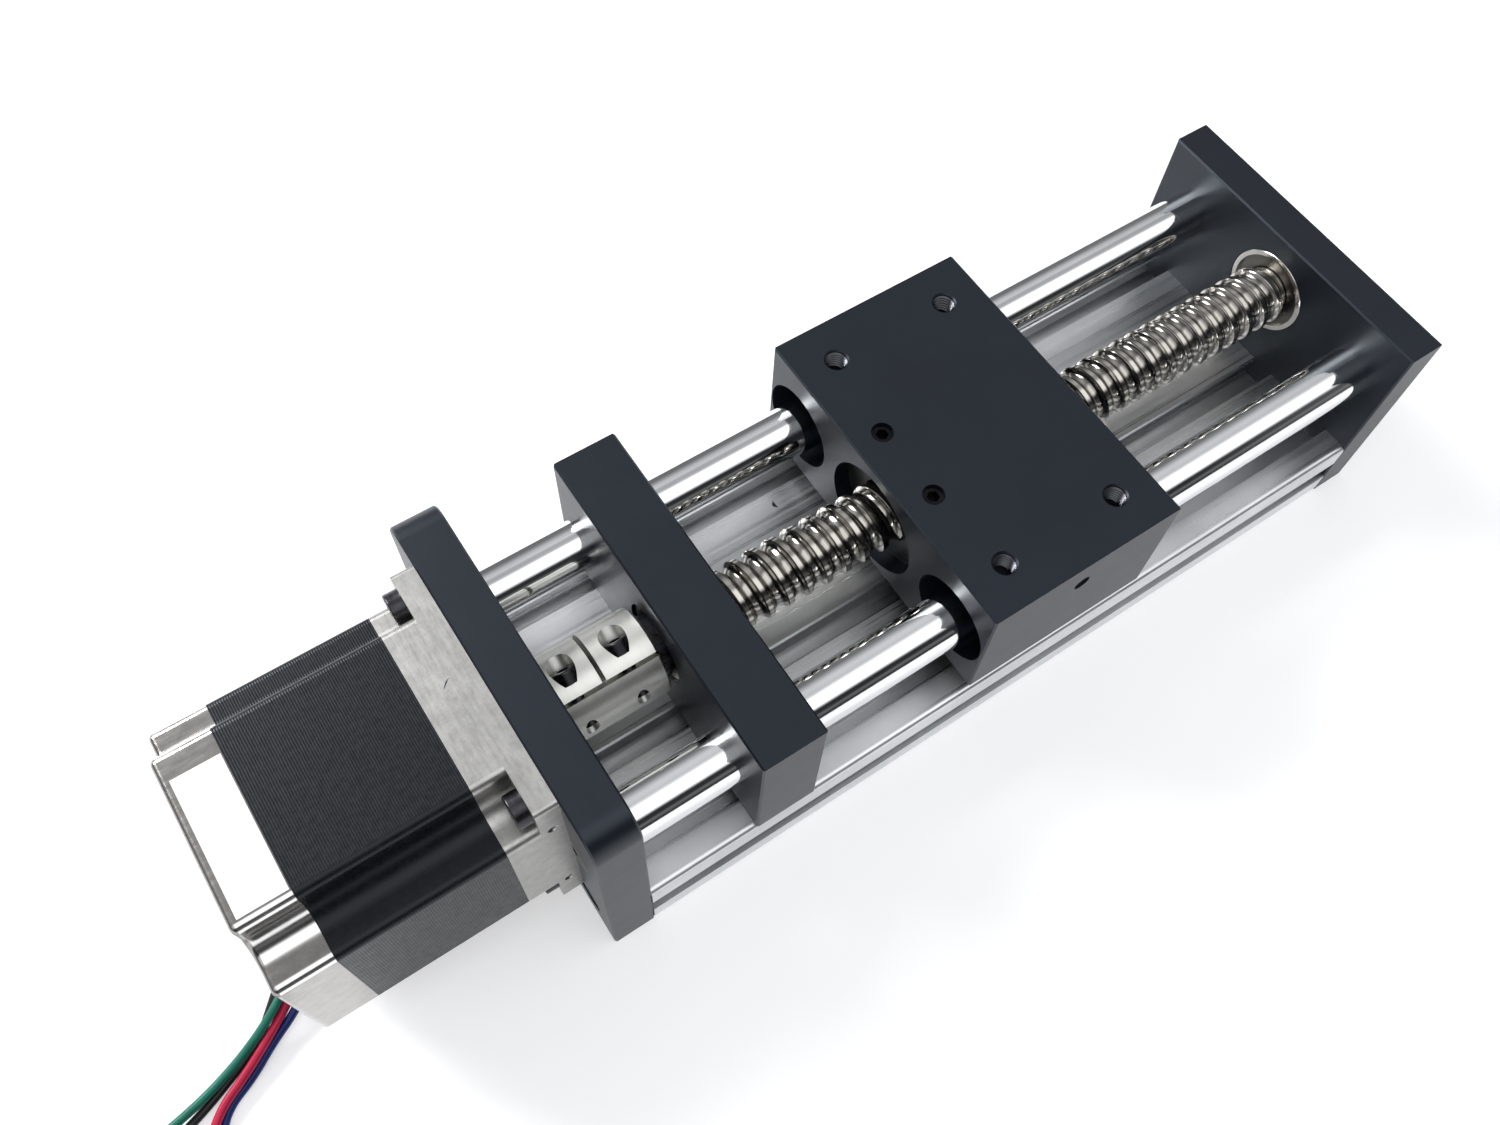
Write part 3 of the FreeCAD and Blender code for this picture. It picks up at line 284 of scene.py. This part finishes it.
def dress(node_name, finish):
    """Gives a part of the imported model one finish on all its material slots."""
    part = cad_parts[node_name]
    for slot in part.material_slots:
        slot.material = finish
    if not part.material_slots:
        part.data.materials.append(finish)
    print(node_name, "wears", finish.name)


# %% [markdown]
# ## Black anodised aluminium
# The plates, the block and the carriage are milled aluminium, blasted to a fine matt and
# anodised black. The oxide is a thin glassy layer, so the shader isn't metallic: it is
# nearly black, with a satin gloss and a fine grain of about a fifth of a millimetre.

# %% Anodised finish
def anodised():
    finish, shader = new_finish("black_anodised", Specular_IOR_Level=0.5,
                                Specular_Tint=(0.76, 0.88, 1.0, 1.0))
    cloud = noise(finish, 0.030, detail=5.0)
    colour = blend_colours(finish, cloud, (0.0016, 0.0024, 0.0050),
                           (0.0030, 0.0042, 0.0080))
    join(finish, colour, shader.inputs["Base Color"])
    gloss = between(finish, noise(finish, 0.006), 0.385, 0.405)
    join(finish, gloss, shader.inputs["Roughness"])
    grain = noise(finish, 0.00022, detail=2.0)
    raise_surface(finish, shader, grain, depth=0.000008, strength=0.7)
    return finish


black_anodised = anodised()
for part in ("motor_plate", "bearing_block", "end_plate", "slider_block"):
    dress(part, black_anodised)

# %% [markdown]
# ## Chromed rods
# The guide rods are hardened steel, ground and then chromed. A mirror needs little more
# than low roughness, but real rods have a very faint grinding pattern round them, which
# softens the reflections along the rod.

# %% Chrome finish
def chrome():
    finish, shader = new_finish("chromed_steel", Metallic=1.0)
    rings = noise(finish, 0.0006, stretch=(1.0, 0.15, 0.15), detail=2.0)
    cloud = noise(finish, 0.020)
    join(finish, blend_colours(finish, cloud, (0.78, 0.79, 0.80), (0.84, 0.85, 0.86)),
         shader.inputs["Base Color"])
    join(finish, between(finish, rings, 0.05, 0.10), shader.inputs["Roughness"])
    raise_surface(finish, shader, rings, depth=0.000001, strength=0.3)
    return finish


chromed_steel = chrome()
for part in ("guide_rod_left", "guide_rod_right"):
    dress(part, chromed_steel)

# %% [markdown]
# ## Drawn aluminium
# The base is an extrusion, pushed through a die, so all its marks run lengthwise, along
# X. Stretching a noise 250 times along X makes those streaks.

# %% Extruded finish
def extruded():
    finish, shader = new_finish("aluminium", Metallic=1.0)
    streaks = noise(finish, 0.0006, stretch=(0.004, 1.0, 1.0), detail=4.0)
    cloud = noise(finish, 0.025)
    join(finish, blend_colours(finish, cloud, (0.60, 0.61, 0.62), (0.72, 0.73, 0.74)),
         shader.inputs["Base Color"])
    join(finish, between(finish, streaks, 0.26, 0.40), shader.inputs["Roughness"])
    raise_surface(finish, shader, streaks, depth=0.000002, strength=0.2)
    return finish


aluminium = extruded()
dress("base_extrusion", aluminium)

# %% [markdown]
# ## Steels, bright and dark
# The ball nut and its balls are polished steel with a warm tone, the bearings are ground
# steel with darker shields, and the coupling is turned alloy. The screws are dark, and so
# is the metal of the threads cut further down. All share one recipe, with a different
# colour, gloss and grain, so one function makes them all. The grain is the size of the
# fine pattern that changes the gloss.

# %% Steel finishes
def steel(name, dark, light, gloss, rougher, grain, depth=0.000003,
          stretch=(1.0, 1.0, 1.0)):
    finish, shader = new_finish(name, Metallic=1.0)
    cloud = noise(finish, 0.008)
    fine = noise(finish, grain, stretch=stretch, detail=3.0)
    join(finish, blend_colours(finish, cloud, dark, light), shader.inputs["Base Color"])
    join(finish, between(finish, fine, gloss, rougher), shader.inputs["Roughness"])
    raise_surface(finish, shader, fine, depth, strength=0.4)
    return finish


nut_steel = steel("ground_steel", (0.52, 0.49, 0.44), (0.66, 0.62, 0.56),
                  0.10, 0.20, 0.0012)
bearing_steel = steel("bearing_steel", (0.62, 0.60, 0.56), (0.72, 0.70, 0.66),
                      0.16, 0.26, 0.0008)
cut_threads = steel("cut_threads", (0.045, 0.048, 0.055), (0.070, 0.073, 0.080),
                    0.24, 0.34, 0.0020)
shield_steel = steel("shield_steel", (0.110, 0.105, 0.095), (0.160, 0.155, 0.140),
                     0.30, 0.42, 0.0010)
dark_screws = steel("plated_screws", (0.030, 0.030, 0.034), (0.060, 0.060, 0.065),
                    0.26, 0.40, 0.0008)
black_screws = steel("blackened_screws", (0.010, 0.010, 0.012), (0.024, 0.024, 0.027),
                     0.20, 0.32, 0.0008)
turned_alloy = steel("coupling_alloy", (0.62, 0.62, 0.585), (0.68, 0.68, 0.64),
                     0.36, 0.42, 0.0005, depth=0.0000004, stretch=(1.0, 0.1, 0.1))

for part in ("ball_nut", "nut_balls"):
    dress(part, nut_steel)
for part in ("drive_bearing_inner", "drive_bearing_outer", "end_bearing_inner",
             "end_bearing_outer", "motor_bearing_inner", "motor_bearing_outer",
             "motor_rotor", "linear_sleeve_left", "linear_sleeve_right"):
    dress(part, bearing_steel)
for part in ("drive_bearing_shields", "end_bearing_shields"):
    dress(part, shield_steel)
for part in ("plate_screws", "rod_screws", "block_screws", "lock_nut", "coupling_screws",
             "motor_mount_screws", "motor_tie_bolts"):
    dress(part, dark_screws)
for part in ("nut_set_screws", "side_set_screws"):
    dress(part, black_screws)
dress("coupling", turned_alloy)

# %% [markdown]
# ## The ball screw
# The screw carries the eye, so its finish follows its thread. Going round the axis while
# going along it, the number x / lead - angle / turn stays the same on one line of the
# groove. Its fraction says where a point lies across the thread, and a colour ramp over it
# paints the tones there: a plain mid tone on the polished floor, painted shade on the flanks
# and painted highlights as thin bright lines on the rims.

# %% Thread-following finish
LEAD = 0.005
AXIS_HEIGHT = 0.040
# The groove's middle lies at this fraction of a pitch, and is moved to one half
GROOVE_MIDDLE = 0.851
JOURNAL_RADIUS = 0.00615
# Place across the thread and the tone there, painted shade and highlights included, with the
# groove's floor at one half
THREAD_TONE_AND_PAINTED_LIGHT = (
    (0.00, 0.66), (0.09, 0.60), (0.13, 0.10), (0.165, 0.80), (0.215, 0.64), (0.26, 0.14),
    (0.34, 0.30), (0.44, 0.58), (0.50, 0.50), (0.56, 0.58), (0.66, 0.30), (0.74, 0.14),
    (0.785, 0.64), (0.835, 0.80), (0.87, 0.10), (0.91, 0.60), (1.00, 0.66),
)
# A tone of 1 gives this colour
WARMTH = (0.73, 0.70, 0.64)


def place_across_thread(finish):
    """Fraction of a pitch at each point, and 1 on the thread or 0 on the journals."""
    coords = node(finish, "ShaderNodeTexCoord")
    centre = node(finish, "ShaderNodeVectorMath", {1: (0.0, 0.0, AXIS_HEIGHT)},
                  operation="SUBTRACT")
    split = node(finish, "ShaderNodeSeparateXYZ")
    angle = node(finish, "ShaderNodeMath", operation="ARCTAN2")
    turned = node(finish, "ShaderNodeMath", {1: -0.5 / math.pi}, operation="MULTIPLY")
    along = node(finish, "ShaderNodeMath", {1: 1.0 / LEAD, 2: 0.5 - GROOVE_MIDDLE},
                 operation="MULTIPLY_ADD")
    both = node(finish, "ShaderNodeMath", operation="ADD")
    place = node(finish, "ShaderNodeMath", operation="FRACT")
    across = node(finish, "ShaderNodeCombineXYZ")
    radius = node(finish, "ShaderNodeVectorMath", operation="LENGTH")
    on_thread = node(finish, "ShaderNodeMath", {1: JOURNAL_RADIUS},
                     operation="GREATER_THAN")
    join(finish, coords.outputs["Object"], centre.inputs[0])
    join(finish, centre.outputs[0], split.inputs[0])
    join(finish, split.outputs["Z"], angle.inputs[0])
    join(finish, split.outputs["Y"], angle.inputs[1])
    join(finish, angle.outputs[0], turned.inputs[0])
    join(finish, split.outputs["X"], along.inputs[0])
    join(finish, turned.outputs[0], both.inputs[0])
    join(finish, along.outputs[0], both.inputs[1])
    join(finish, both.outputs[0], place.inputs[0])
    join(finish, split.outputs["Y"], across.inputs["Y"])
    join(finish, split.outputs["Z"], across.inputs["Z"])
    join(finish, across.outputs[0], radius.inputs[0])
    join(finish, radius.outputs["Value"], on_thread.inputs[0])
    return place.outputs[0], on_thread.outputs[0]


def fill_ramp(ramp, stops):
    """Sets a colour ramp's stops from places and colours."""
    elements = ramp.color_ramp.elements
    for index, (place, colour) in enumerate(stops):
        element = elements[index] if index < 2 else elements.new(place)
        element.position = place
        element.color = (*colour, 1.0)


def threaded():
    finish, shader = new_finish("ground_steel", Metallic=1.0)
    place, on_thread = place_across_thread(finish)
    # The metal's tone, with painted shade on the flanks and painted highlights on the rims
    tone_and_painted_light = node(finish, "ShaderNodeValToRGB")
    fill_ramp(tone_and_painted_light, [(at, [tone * warm for warm in WARMTH]) for at, tone in THREAD_TONE_AND_PAINTED_LIGHT])
    join(finish, place, tone_and_painted_light.inputs["Fac"])
    cloud = noise(finish, 0.003)
    plain = blend_colours(finish, cloud, (0.56, 0.53, 0.48), (0.66, 0.62, 0.56))
    choice = node(finish, "ShaderNodeMix", data_type="RGBA")
    join(finish, on_thread, choice.inputs[0])
    join(finish, plain, choice.inputs[6])
    join(finish, tone_and_painted_light.outputs["Color"], choice.inputs[7])
    join(finish, choice.outputs[2], shader.inputs["Base Color"])
    fine = noise(finish, 0.0010, detail=3.0)
    join(finish, between(finish, fine, 0.11, 0.20), shader.inputs["Roughness"])
    raise_surface(finish, shader, fine, depth=0.000004, strength=0.4)
    return finish


dress("ball_screw", threaded())

# %% [markdown]
# ## Motor castings
# The two end caps are die-cast aluminium. The front one keeps its dull, faintly mottled
# cast skin, and the rear one is polished along its length, so it mirrors in soft streaks.
# Clouds change colour and gloss, and fine scratches run one way. The rear cap's round
# corners get a lighter colour than its flat faces: a painted highlight. A face that is
# square to an axis has a normal with one part near 1, and that tells the two apart. The
# corners run along X, so a normal with any X in it belongs to an end face's edge, which
# gets no painted highlight.

# %% Painted highlights on round corners
# A normal's longest part on a round corner, and on a flat face
ROUND_PART, FLAT_PART = 0.970, 0.998
X_COUNTS = 10.0


def paint_corner_highlights(finish, flat_colour, corner_highlight_colour):
    """Keeps one colour on faces square to an axis and paints round corners lighter, a
    painted highlight.
    """
    coords = node(finish, "ShaderNodeTexCoord")
    facing = node(finish, "ShaderNodeVectorMath", operation="ABSOLUTE")
    weighed = node(finish, "ShaderNodeVectorMath", {1: (X_COUNTS, 1.0, 1.0)},
                   operation="MULTIPLY")
    split = node(finish, "ShaderNodeSeparateXYZ")
    larger = node(finish, "ShaderNodeMath", operation="MAXIMUM")
    largest = node(finish, "ShaderNodeMath", operation="MAXIMUM")
    mix = node(finish, "ShaderNodeMix", data_type="RGBA")
    mix.inputs[7].default_value = (*corner_highlight_colour, 1.0)
    join(finish, coords.outputs["Normal"], facing.inputs[0])
    join(finish, facing.outputs[0], weighed.inputs[0])
    join(finish, weighed.outputs[0], split.inputs[0])
    join(finish, split.outputs["X"], larger.inputs[0])
    join(finish, split.outputs["Y"], larger.inputs[1])
    join(finish, larger.outputs[0], largest.inputs[0])
    join(finish, split.outputs["Z"], largest.inputs[1])
    is_corner = between(finish, largest.outputs[0], 1.0, 0.0, ROUND_PART, FLAT_PART)
    join(finish, is_corner, mix.inputs[0])
    join(finish, flat_colour, mix.inputs[6])
    return mix.outputs[2]


# %% Cast finishes
def castings(name, colours, gloss, rougher, pitting, scratch_stretch, corners=None):
    finish, shader = new_finish(name, Metallic=1.0)
    cloud = noise(finish, 0.0025, detail=6.0, rough=0.75)
    scratches = noise(finish, 0.0010, stretch=scratch_stretch, detail=6.0, rough=0.7)
    colour = blend_colours(finish, cloud, *colours, start=0.3, end=0.7)
    # Round corners get a lighter colour here, a painted highlight
    if corners is not None:
        colour = paint_corner_highlights(finish, colour, corners)
    join(finish, colour, shader.inputs["Base Color"])
    join(finish, between(finish, scratches, gloss, rougher), shader.inputs["Roughness"])
    pits = raise_surface(finish, shader, cloud, depth=pitting, strength=0.35)
    raise_surface(finish, shader, scratches, depth=0.00001, strength=0.4, under=pits)
    return finish


front_casting = castings(
    "motor_castings", ((0.35, 0.345, 0.335), (0.48, 0.475, 0.46)), 0.34, 0.44,
    pitting=0.00004, scratch_stretch=(1.0, 0.12, 1.0))
rear_casting = castings(
    "polished_casting", ((0.28, 0.27, 0.26), (0.38, 0.37, 0.355)), 0.14, 0.24,
    pitting=0.00001, scratch_stretch=(0.12, 1.0, 1.0), corners=(0.80, 0.79, 0.78))
dress("motor_front_cap", front_casting)
dress("motor_rear_cap", rear_casting)

# %% [markdown]
# ## Laminated stator
# The black middle of the motor is a stack of thin steel sheets under black lacquer. Each
# sheet is about half a millimetre thick, and its edge shows as a fine line. A wave
# pattern along X, broken up by a little noise, gives that without modelling 67 sheets.

# %% Laminated finish
SHEET = 0.0005
# A wave texture of scale 1 repeats after this length
WAVE_REPEAT = 0.314


def laminations():
    finish, shader = new_finish("motor_laminations", Specular_IOR_Level=0.28,
                                Specular_Tint=(0.88, 0.93, 1.0, 1.0))
    coords = node(finish, "ShaderNodeTexCoord")
    wave = node(
        finish,
        "ShaderNodeTexWave",
        {"Scale": WAVE_REPEAT / SHEET, "Distortion": 1.2, "Detail": 2.0,
         "Detail Scale": 0.6},
        bands_direction="X",
    )
    join(finish, coords.outputs["Object"], wave.inputs["Vector"])
    cloud = noise(finish, 0.0012, detail=5.0)
    colour = blend_colours(finish, cloud, (0.003, 0.0035, 0.005), (0.006, 0.007, 0.009))
    join(finish, colour, shader.inputs["Base Color"])
    join(finish, between(finish, cloud, 0.34, 0.42), shader.inputs["Roughness"])
    raise_surface(finish, shader, wave.outputs["Fac"], depth=0.00004, strength=0.6)
    return finish


dress("motor_stack", laminations())

# %% [markdown]
# ## Paper, plastic and rubber
# The label is a bare strip of matt paper, the ball cages and wipers are black nylon, and
# the grommet is black rubber. None is metallic, and each has its own gloss and grain.

# %% Dull finishes
def dull(name, dark, light, gloss, rougher, grain, depth):
    finish, shader = new_finish(name, Specular_IOR_Level=0.28)
    fine = noise(finish, grain, detail=3.0)
    join(finish, blend_colours(finish, noise(finish, grain * 12), dark, light),
         shader.inputs["Base Color"])
    join(finish, between(finish, fine, gloss, rougher), shader.inputs["Roughness"])
    raise_surface(finish, shader, fine, depth, strength=0.5)
    return finish


label_paper = dull("label_paper", (0.86, 0.85, 0.82), (0.90, 0.89, 0.86),
                   0.50, 0.62, 0.0004, 0.00001)
nylon = dull("black_plastic", (0.016, 0.016, 0.017), (0.024, 0.024, 0.025),
             0.38, 0.50, 0.0005, 0.00001)
rubber = dull("grommet_rubber", (0.010, 0.010, 0.010), (0.018, 0.018, 0.018),
              0.60, 0.75, 0.0004, 0.00002)
dress("motor_label", label_paper)
for part in ("linear_cages", "nut_wipers"):
    dress(part, nylon)
dress("motor_grommet", rubber)

# %% [markdown]
# The wires' sleeves are soft vinyl in plain strong colours, with a low gloss.

# %% Wire sleeves
SLEEVES = {
    "black": ((0.006, 0.006, 0.007), (0.010, 0.010, 0.011)),
    "green": ((0.001, 0.100, 0.068), (0.002, 0.130, 0.088)),
    "red": ((0.360, 0.004, 0.036), (0.430, 0.006, 0.046)),
    "blue": ((0.001, 0.010, 0.095), (0.002, 0.015, 0.130)),
}
for colour, (dark, light) in SLEEVES.items():
    sleeve = dull(f"lead_{colour}", dark, light, 0.32, 0.42, 0.0006, 0.000006)
    leads[colour].data.materials.append(sleeve)
    dress(f"lead_{colour}", sleeve)
    dress(f"lead_{colour}_coil", sleeve)

# %% [markdown]
# ## Threads in the load holes
# The four holes in the carriage's top are tapped for M5 screws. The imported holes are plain
# and as wide as the thread's outer diameter, so the thread is a ridge that winds up the
# wall and points inwards. Its cross-section is a triangle with a blunt tip, carried along
# a right-hand helix.

# %% Thread measures
THREAD_PITCH = 0.0008
HOLE_RADIUS = 0.0025
TIP_RADIUS = 0.00208
HOLE_BOTTOM, HOLE_MOUTH = 0.0515, 0.0566
HOLE_CENTRES = [(x, y) for x in (-0.0095, 0.0205) for y in (-0.030, 0.030)]
# Height above the ridge's middle and distance from the hole's axis, once round the section
RIDGE_SECTION = (
    (-0.00034, HOLE_RADIUS), (-0.00006, TIP_RADIUS),
    (0.00006, TIP_RADIUS), (0.00034, HOLE_RADIUS),
)
RIDGE_STEPS = 28


# %% Mesh helpers
def add_sweep(points, faces, rings):
    """Joins rings of points into a closed tube and adds it to a mesh's lists."""
    first, count = len(points), len(rings[0])
    for ring in rings:
        points.extend(ring)
    for r in range(len(rings) - 1):
        low, high = first + r * count, first + (r + 1) * count
        for k in range(count):
            m = (k + 1) % count
            faces.append((low + k, low + m, high + m, high + k))
    faces.append(tuple(first + k for k in reversed(range(count))))
    faces.append(tuple(len(points) - count + k for k in range(count)))


def add_piece(name, points, faces, finish, body):
    """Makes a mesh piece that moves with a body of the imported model."""
    mesh = bpy.data.meshes.new(name)
    mesh.from_pydata(points, [], faces)
    mesh.materials.append(finish)
    mesh.validate()
    made = bpy.data.objects.new(name, mesh)
    bpy.context.scene.collection.objects.link(made)
    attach(made, body)


# %% Wind the threads
def thread_rings(x, y):
    """The ridge's section at each step up the hole that stands at x, y."""
    margin = RIDGE_SECTION[-1][0]
    turns = (HOLE_MOUTH - HOLE_BOTTOM - 2 * margin) / THREAD_PITCH
    rings = []
    for step in range(int(turns * RIDGE_STEPS) + 1):
        angle = 2 * math.pi * step / RIDGE_STEPS
        middle = HOLE_BOTTOM + margin + THREAD_PITCH * step / RIDGE_STEPS
        rings.append([(x + reach * math.cos(angle), y + reach * math.sin(angle),
                       middle + rise) for rise, reach in RIDGE_SECTION])
    return rings


points, faces = [], []
for x, y in HOLE_CENTRES:
    add_sweep(points, faces, thread_rings(x, y))
add_piece("load_hole_threads", points, faces, cut_threads, "carriage")
print("threads:", len(points), "points")

# %% [markdown]
# ## Two small nicks
# The picture shows a nick in the base's top and another in the motor's flange. Each is a
# thin dark sliver that lies on its surface, pointed at both ends.

# %% Make the nicks
# Each nick's name, its two ends, the height of its surface, its width and its slot
NICKS = (
    ("base_nick", (-0.02817, 0.02460), (-0.02799, 0.02230), 0.0200, 0.00080,
     "aluminium"),
    ("flange_nick", (-0.11650, 0.00336), (-0.11832, 0.00175), 0.0682, 0.00035,
     "motor_castings"),
)
NICK_THICKNESS = 0.00003
NICK_STEPS = 8
# Shares of a nick's width: how blunt its points are, how far it bows, how wide its top is
NICK_POINT, NICK_BOW, NICK_TOP = 0.06, 0.6, 0.5


def sliver(start, end, height, width):
    """Rings of a flat pointed sliver between two places, at a height, all in metres."""
    start, end = Vector((*start, height)), Vector((*end, height))
    side = (end - start).cross(Vector((0, 0, 1))).normalized()
    lift = Vector((0, 0, NICK_THICKNESS))
    rings = []
    for step in range(NICK_STEPS + 1):
        share = step / NICK_STEPS
        swell = math.sin(math.pi * share)
        half = side * (width / 2 * max(swell, NICK_POINT))
        middle = start.lerp(end, share) + side * (width * NICK_BOW * swell)
        rings.append([middle - half, middle + half,
                      middle + half * NICK_TOP + lift, middle - half * NICK_TOP + lift])
    return rings


for name, start, end, height, width, slot in NICKS:
    points, faces = [], []
    add_sweep(points, faces, sliver(start, end, height, width))
    add_piece(name, points, faces, dark_screws, "frame")
    print(name, "at height", height)

# %% [markdown]
# ## Floor
# The slide stands on a seamless white sheet. To the camera the sheet is partly its own
# light, so that it stays white, and partly lit, so that it keeps the soft shadows. Rays
# that reach it by a reflection see the same sheet.

# %% Make the floor
OWN_LIGHT = 1.90
OWN_LIGHT_SHARE = 0.22
FLOOR_HALF = 2.5


def floor_finish():
    finish, shader = new_finish("floor", Roughness=0.8, Specular_IOR_Level=0.2)
    cloud = noise(finish, 0.4)
    join(finish, blend_colours(finish, cloud, (0.86, 0.86, 0.87), (0.89, 0.89, 0.90)),
         shader.inputs["Base Color"])
    glow = node(finish, "ShaderNodeEmission", {"Color": (1.0, 1.0, 1.0, 1.0),
                                               "Strength": OWN_LIGHT})
    rays = node(finish, "ShaderNodeLightPath")
    either = node(finish, "ShaderNodeMath", operation="ADD")
    seen = node(finish, "ShaderNodeMath", operation="ADD")
    share = node(finish, "ShaderNodeMath", {1: OWN_LIGHT_SHARE}, operation="MULTIPLY")
    join(finish, rays.outputs["Is Camera Ray"], either.inputs[0])
    join(finish, rays.outputs["Is Glossy Ray"], either.inputs[1])
    join(finish, either.outputs[0], seen.inputs[0])
    join(finish, rays.outputs["Is Transmission Ray"], seen.inputs[1])
    join(finish, seen.outputs[0], share.inputs[0])
    mix = node(finish, "ShaderNodeMixShader")
    join(finish, share.outputs[0], mix.inputs[0])
    join(finish, shader.outputs[0], mix.inputs[1])
    join(finish, glow.outputs[0], mix.inputs[2])
    output = finish.node_tree.nodes["Material Output"]
    join(finish, mix.outputs[0], output.inputs["Surface"])
    return finish


def make_floor(half):
    mesh = bpy.data.meshes.new("floor")
    corners = [(-half, -half, 0), (half, -half, 0), (half, half, 0), (-half, half, 0)]
    mesh.from_pydata(corners, [], [(0, 1, 2, 3)])
    mesh.materials.append(floor_finish())
    made = bpy.data.objects.new("floor", mesh)
    bpy.context.scene.collection.objects.link(made)
    print("floor:", 2 * half, "m square")


make_floor(FLOOR_HALF)

# %% [markdown]
# ## Light
# Polished metal shows its surroundings, so the surroundings are drawn with care. The rods
# run along X, so what they show depends only on how far a direction leans to the side.
# Read across a real rod, the sky is dim near the horizons, fair on the far side, and
# brightest from overhead down the near side. The bands below repeat that.

# %% Sky
# Lean from the zenith towards the near side in degrees, and the brightness there
SKY_BANDS = (
    (-90, 0.16), (-66, 0.20), (-54, 0.38), (-43, 0.60), (-34, 0.72), (-24, 0.66),
    (-15, 0.46), (-10, 0.45), (-3, 0.80), (3, 1.70), (38, 1.70), (46, 0.50),
    (51, 0.03), (64, 0.03), (74, 0.16), (82, 0.06), (90, 0.03),
)
# Brightness towards the two ends of the slide, and the sky's green and blue to 1 of red
SKY_ENDS = 0.30
SKY_GREEN, SKY_BLUE = 1.01, 1.03
# Share of X in a direction where the ends begin to show, and where they show alone
ENDS_BEGIN, ENDS_ALONE = 0.55, 0.95


def make_sky():
    sky = bpy.data.worlds.new("sky")
    sky.use_nodes = True
    coords = node(sky, "ShaderNodeTexCoord")
    split = node(sky, "ShaderNodeSeparateXYZ")
    near = node(sky, "ShaderNodeMath", {1: -1.0}, operation="MULTIPLY")
    lean = node(sky, "ShaderNodeMath", operation="ARCTAN2")
    place = node(sky, "ShaderNodeMapRange",
                 {"From Min": -math.pi / 2, "From Max": math.pi / 2})
    bands = node(sky, "ShaderNodeValToRGB")
    sideways = node(sky, "ShaderNodeMath", operation="ABSOLUTE")
    fade = node(sky, "ShaderNodeMapRange", {"From Min": ENDS_BEGIN, "From Max": ENDS_ALONE})
    mix = node(sky, "ShaderNodeMix", data_type="RGBA")
    join(sky, coords.outputs["Generated"], split.inputs["Vector"])
    join(sky, split.outputs["Y"], near.inputs[0])
    join(sky, near.outputs[0], lean.inputs[0])
    join(sky, split.outputs["Z"], lean.inputs[1])
    join(sky, lean.outputs[0], place.inputs["Value"])
    join(sky, place.outputs["Result"], bands.inputs["Fac"])
    join(sky, split.outputs["X"], sideways.inputs[0])
    join(sky, sideways.outputs[0], fade.inputs["Value"])
    join(sky, fade.outputs["Result"], mix.inputs[0])
    join(sky, bands.outputs["Color"], mix.inputs[6])
    mix.inputs[7].default_value = (SKY_ENDS, SKY_ENDS, SKY_ENDS * SKY_BLUE, 1.0)
    join(sky, mix.outputs[2], sky.node_tree.nodes["Background"].inputs["Color"])
    fill_ramp(bands, [((angle + 90) / 180, (level, level * SKY_GREEN, level * SKY_BLUE))
                      for angle, level in SKY_BANDS])
    bpy.context.scene.world = sky
    print("sky:", len(SKY_BANDS), "bands")


make_sky()
bpy.context.scene.view_settings.view_transform = "Standard"

# %% [markdown]
# One soft lamp on the far side throws the shadows that fall towards the camera. A large
# square panel gives them their soft edges.

# %% Lamp
LAMP_PLACE = Vector((-0.8, 1.35, 1.1))
LAMP_AIM = Vector((0.0, 0.0, 0.02))
LAMP_SIDE = 0.8
LAMP_POWER = 44.0

light = bpy.data.lights.new("side_lamp", "AREA")
light.shape = "RECTANGLE"
light.size = light.size_y = LAMP_SIDE
light.energy = LAMP_POWER
side_lamp = bpy.data.objects.new("side_lamp", light)
side_lamp.location = LAMP_PLACE
side_lamp.rotation_euler = (LAMP_AIM - LAMP_PLACE).to_track_quat("-Z", "Y").to_euler()
bpy.context.scene.collection.objects.link(side_lamp)
print("lamp:", LAMP_POWER, "W, from", round(LAMP_PLACE.length, 2), "m away")
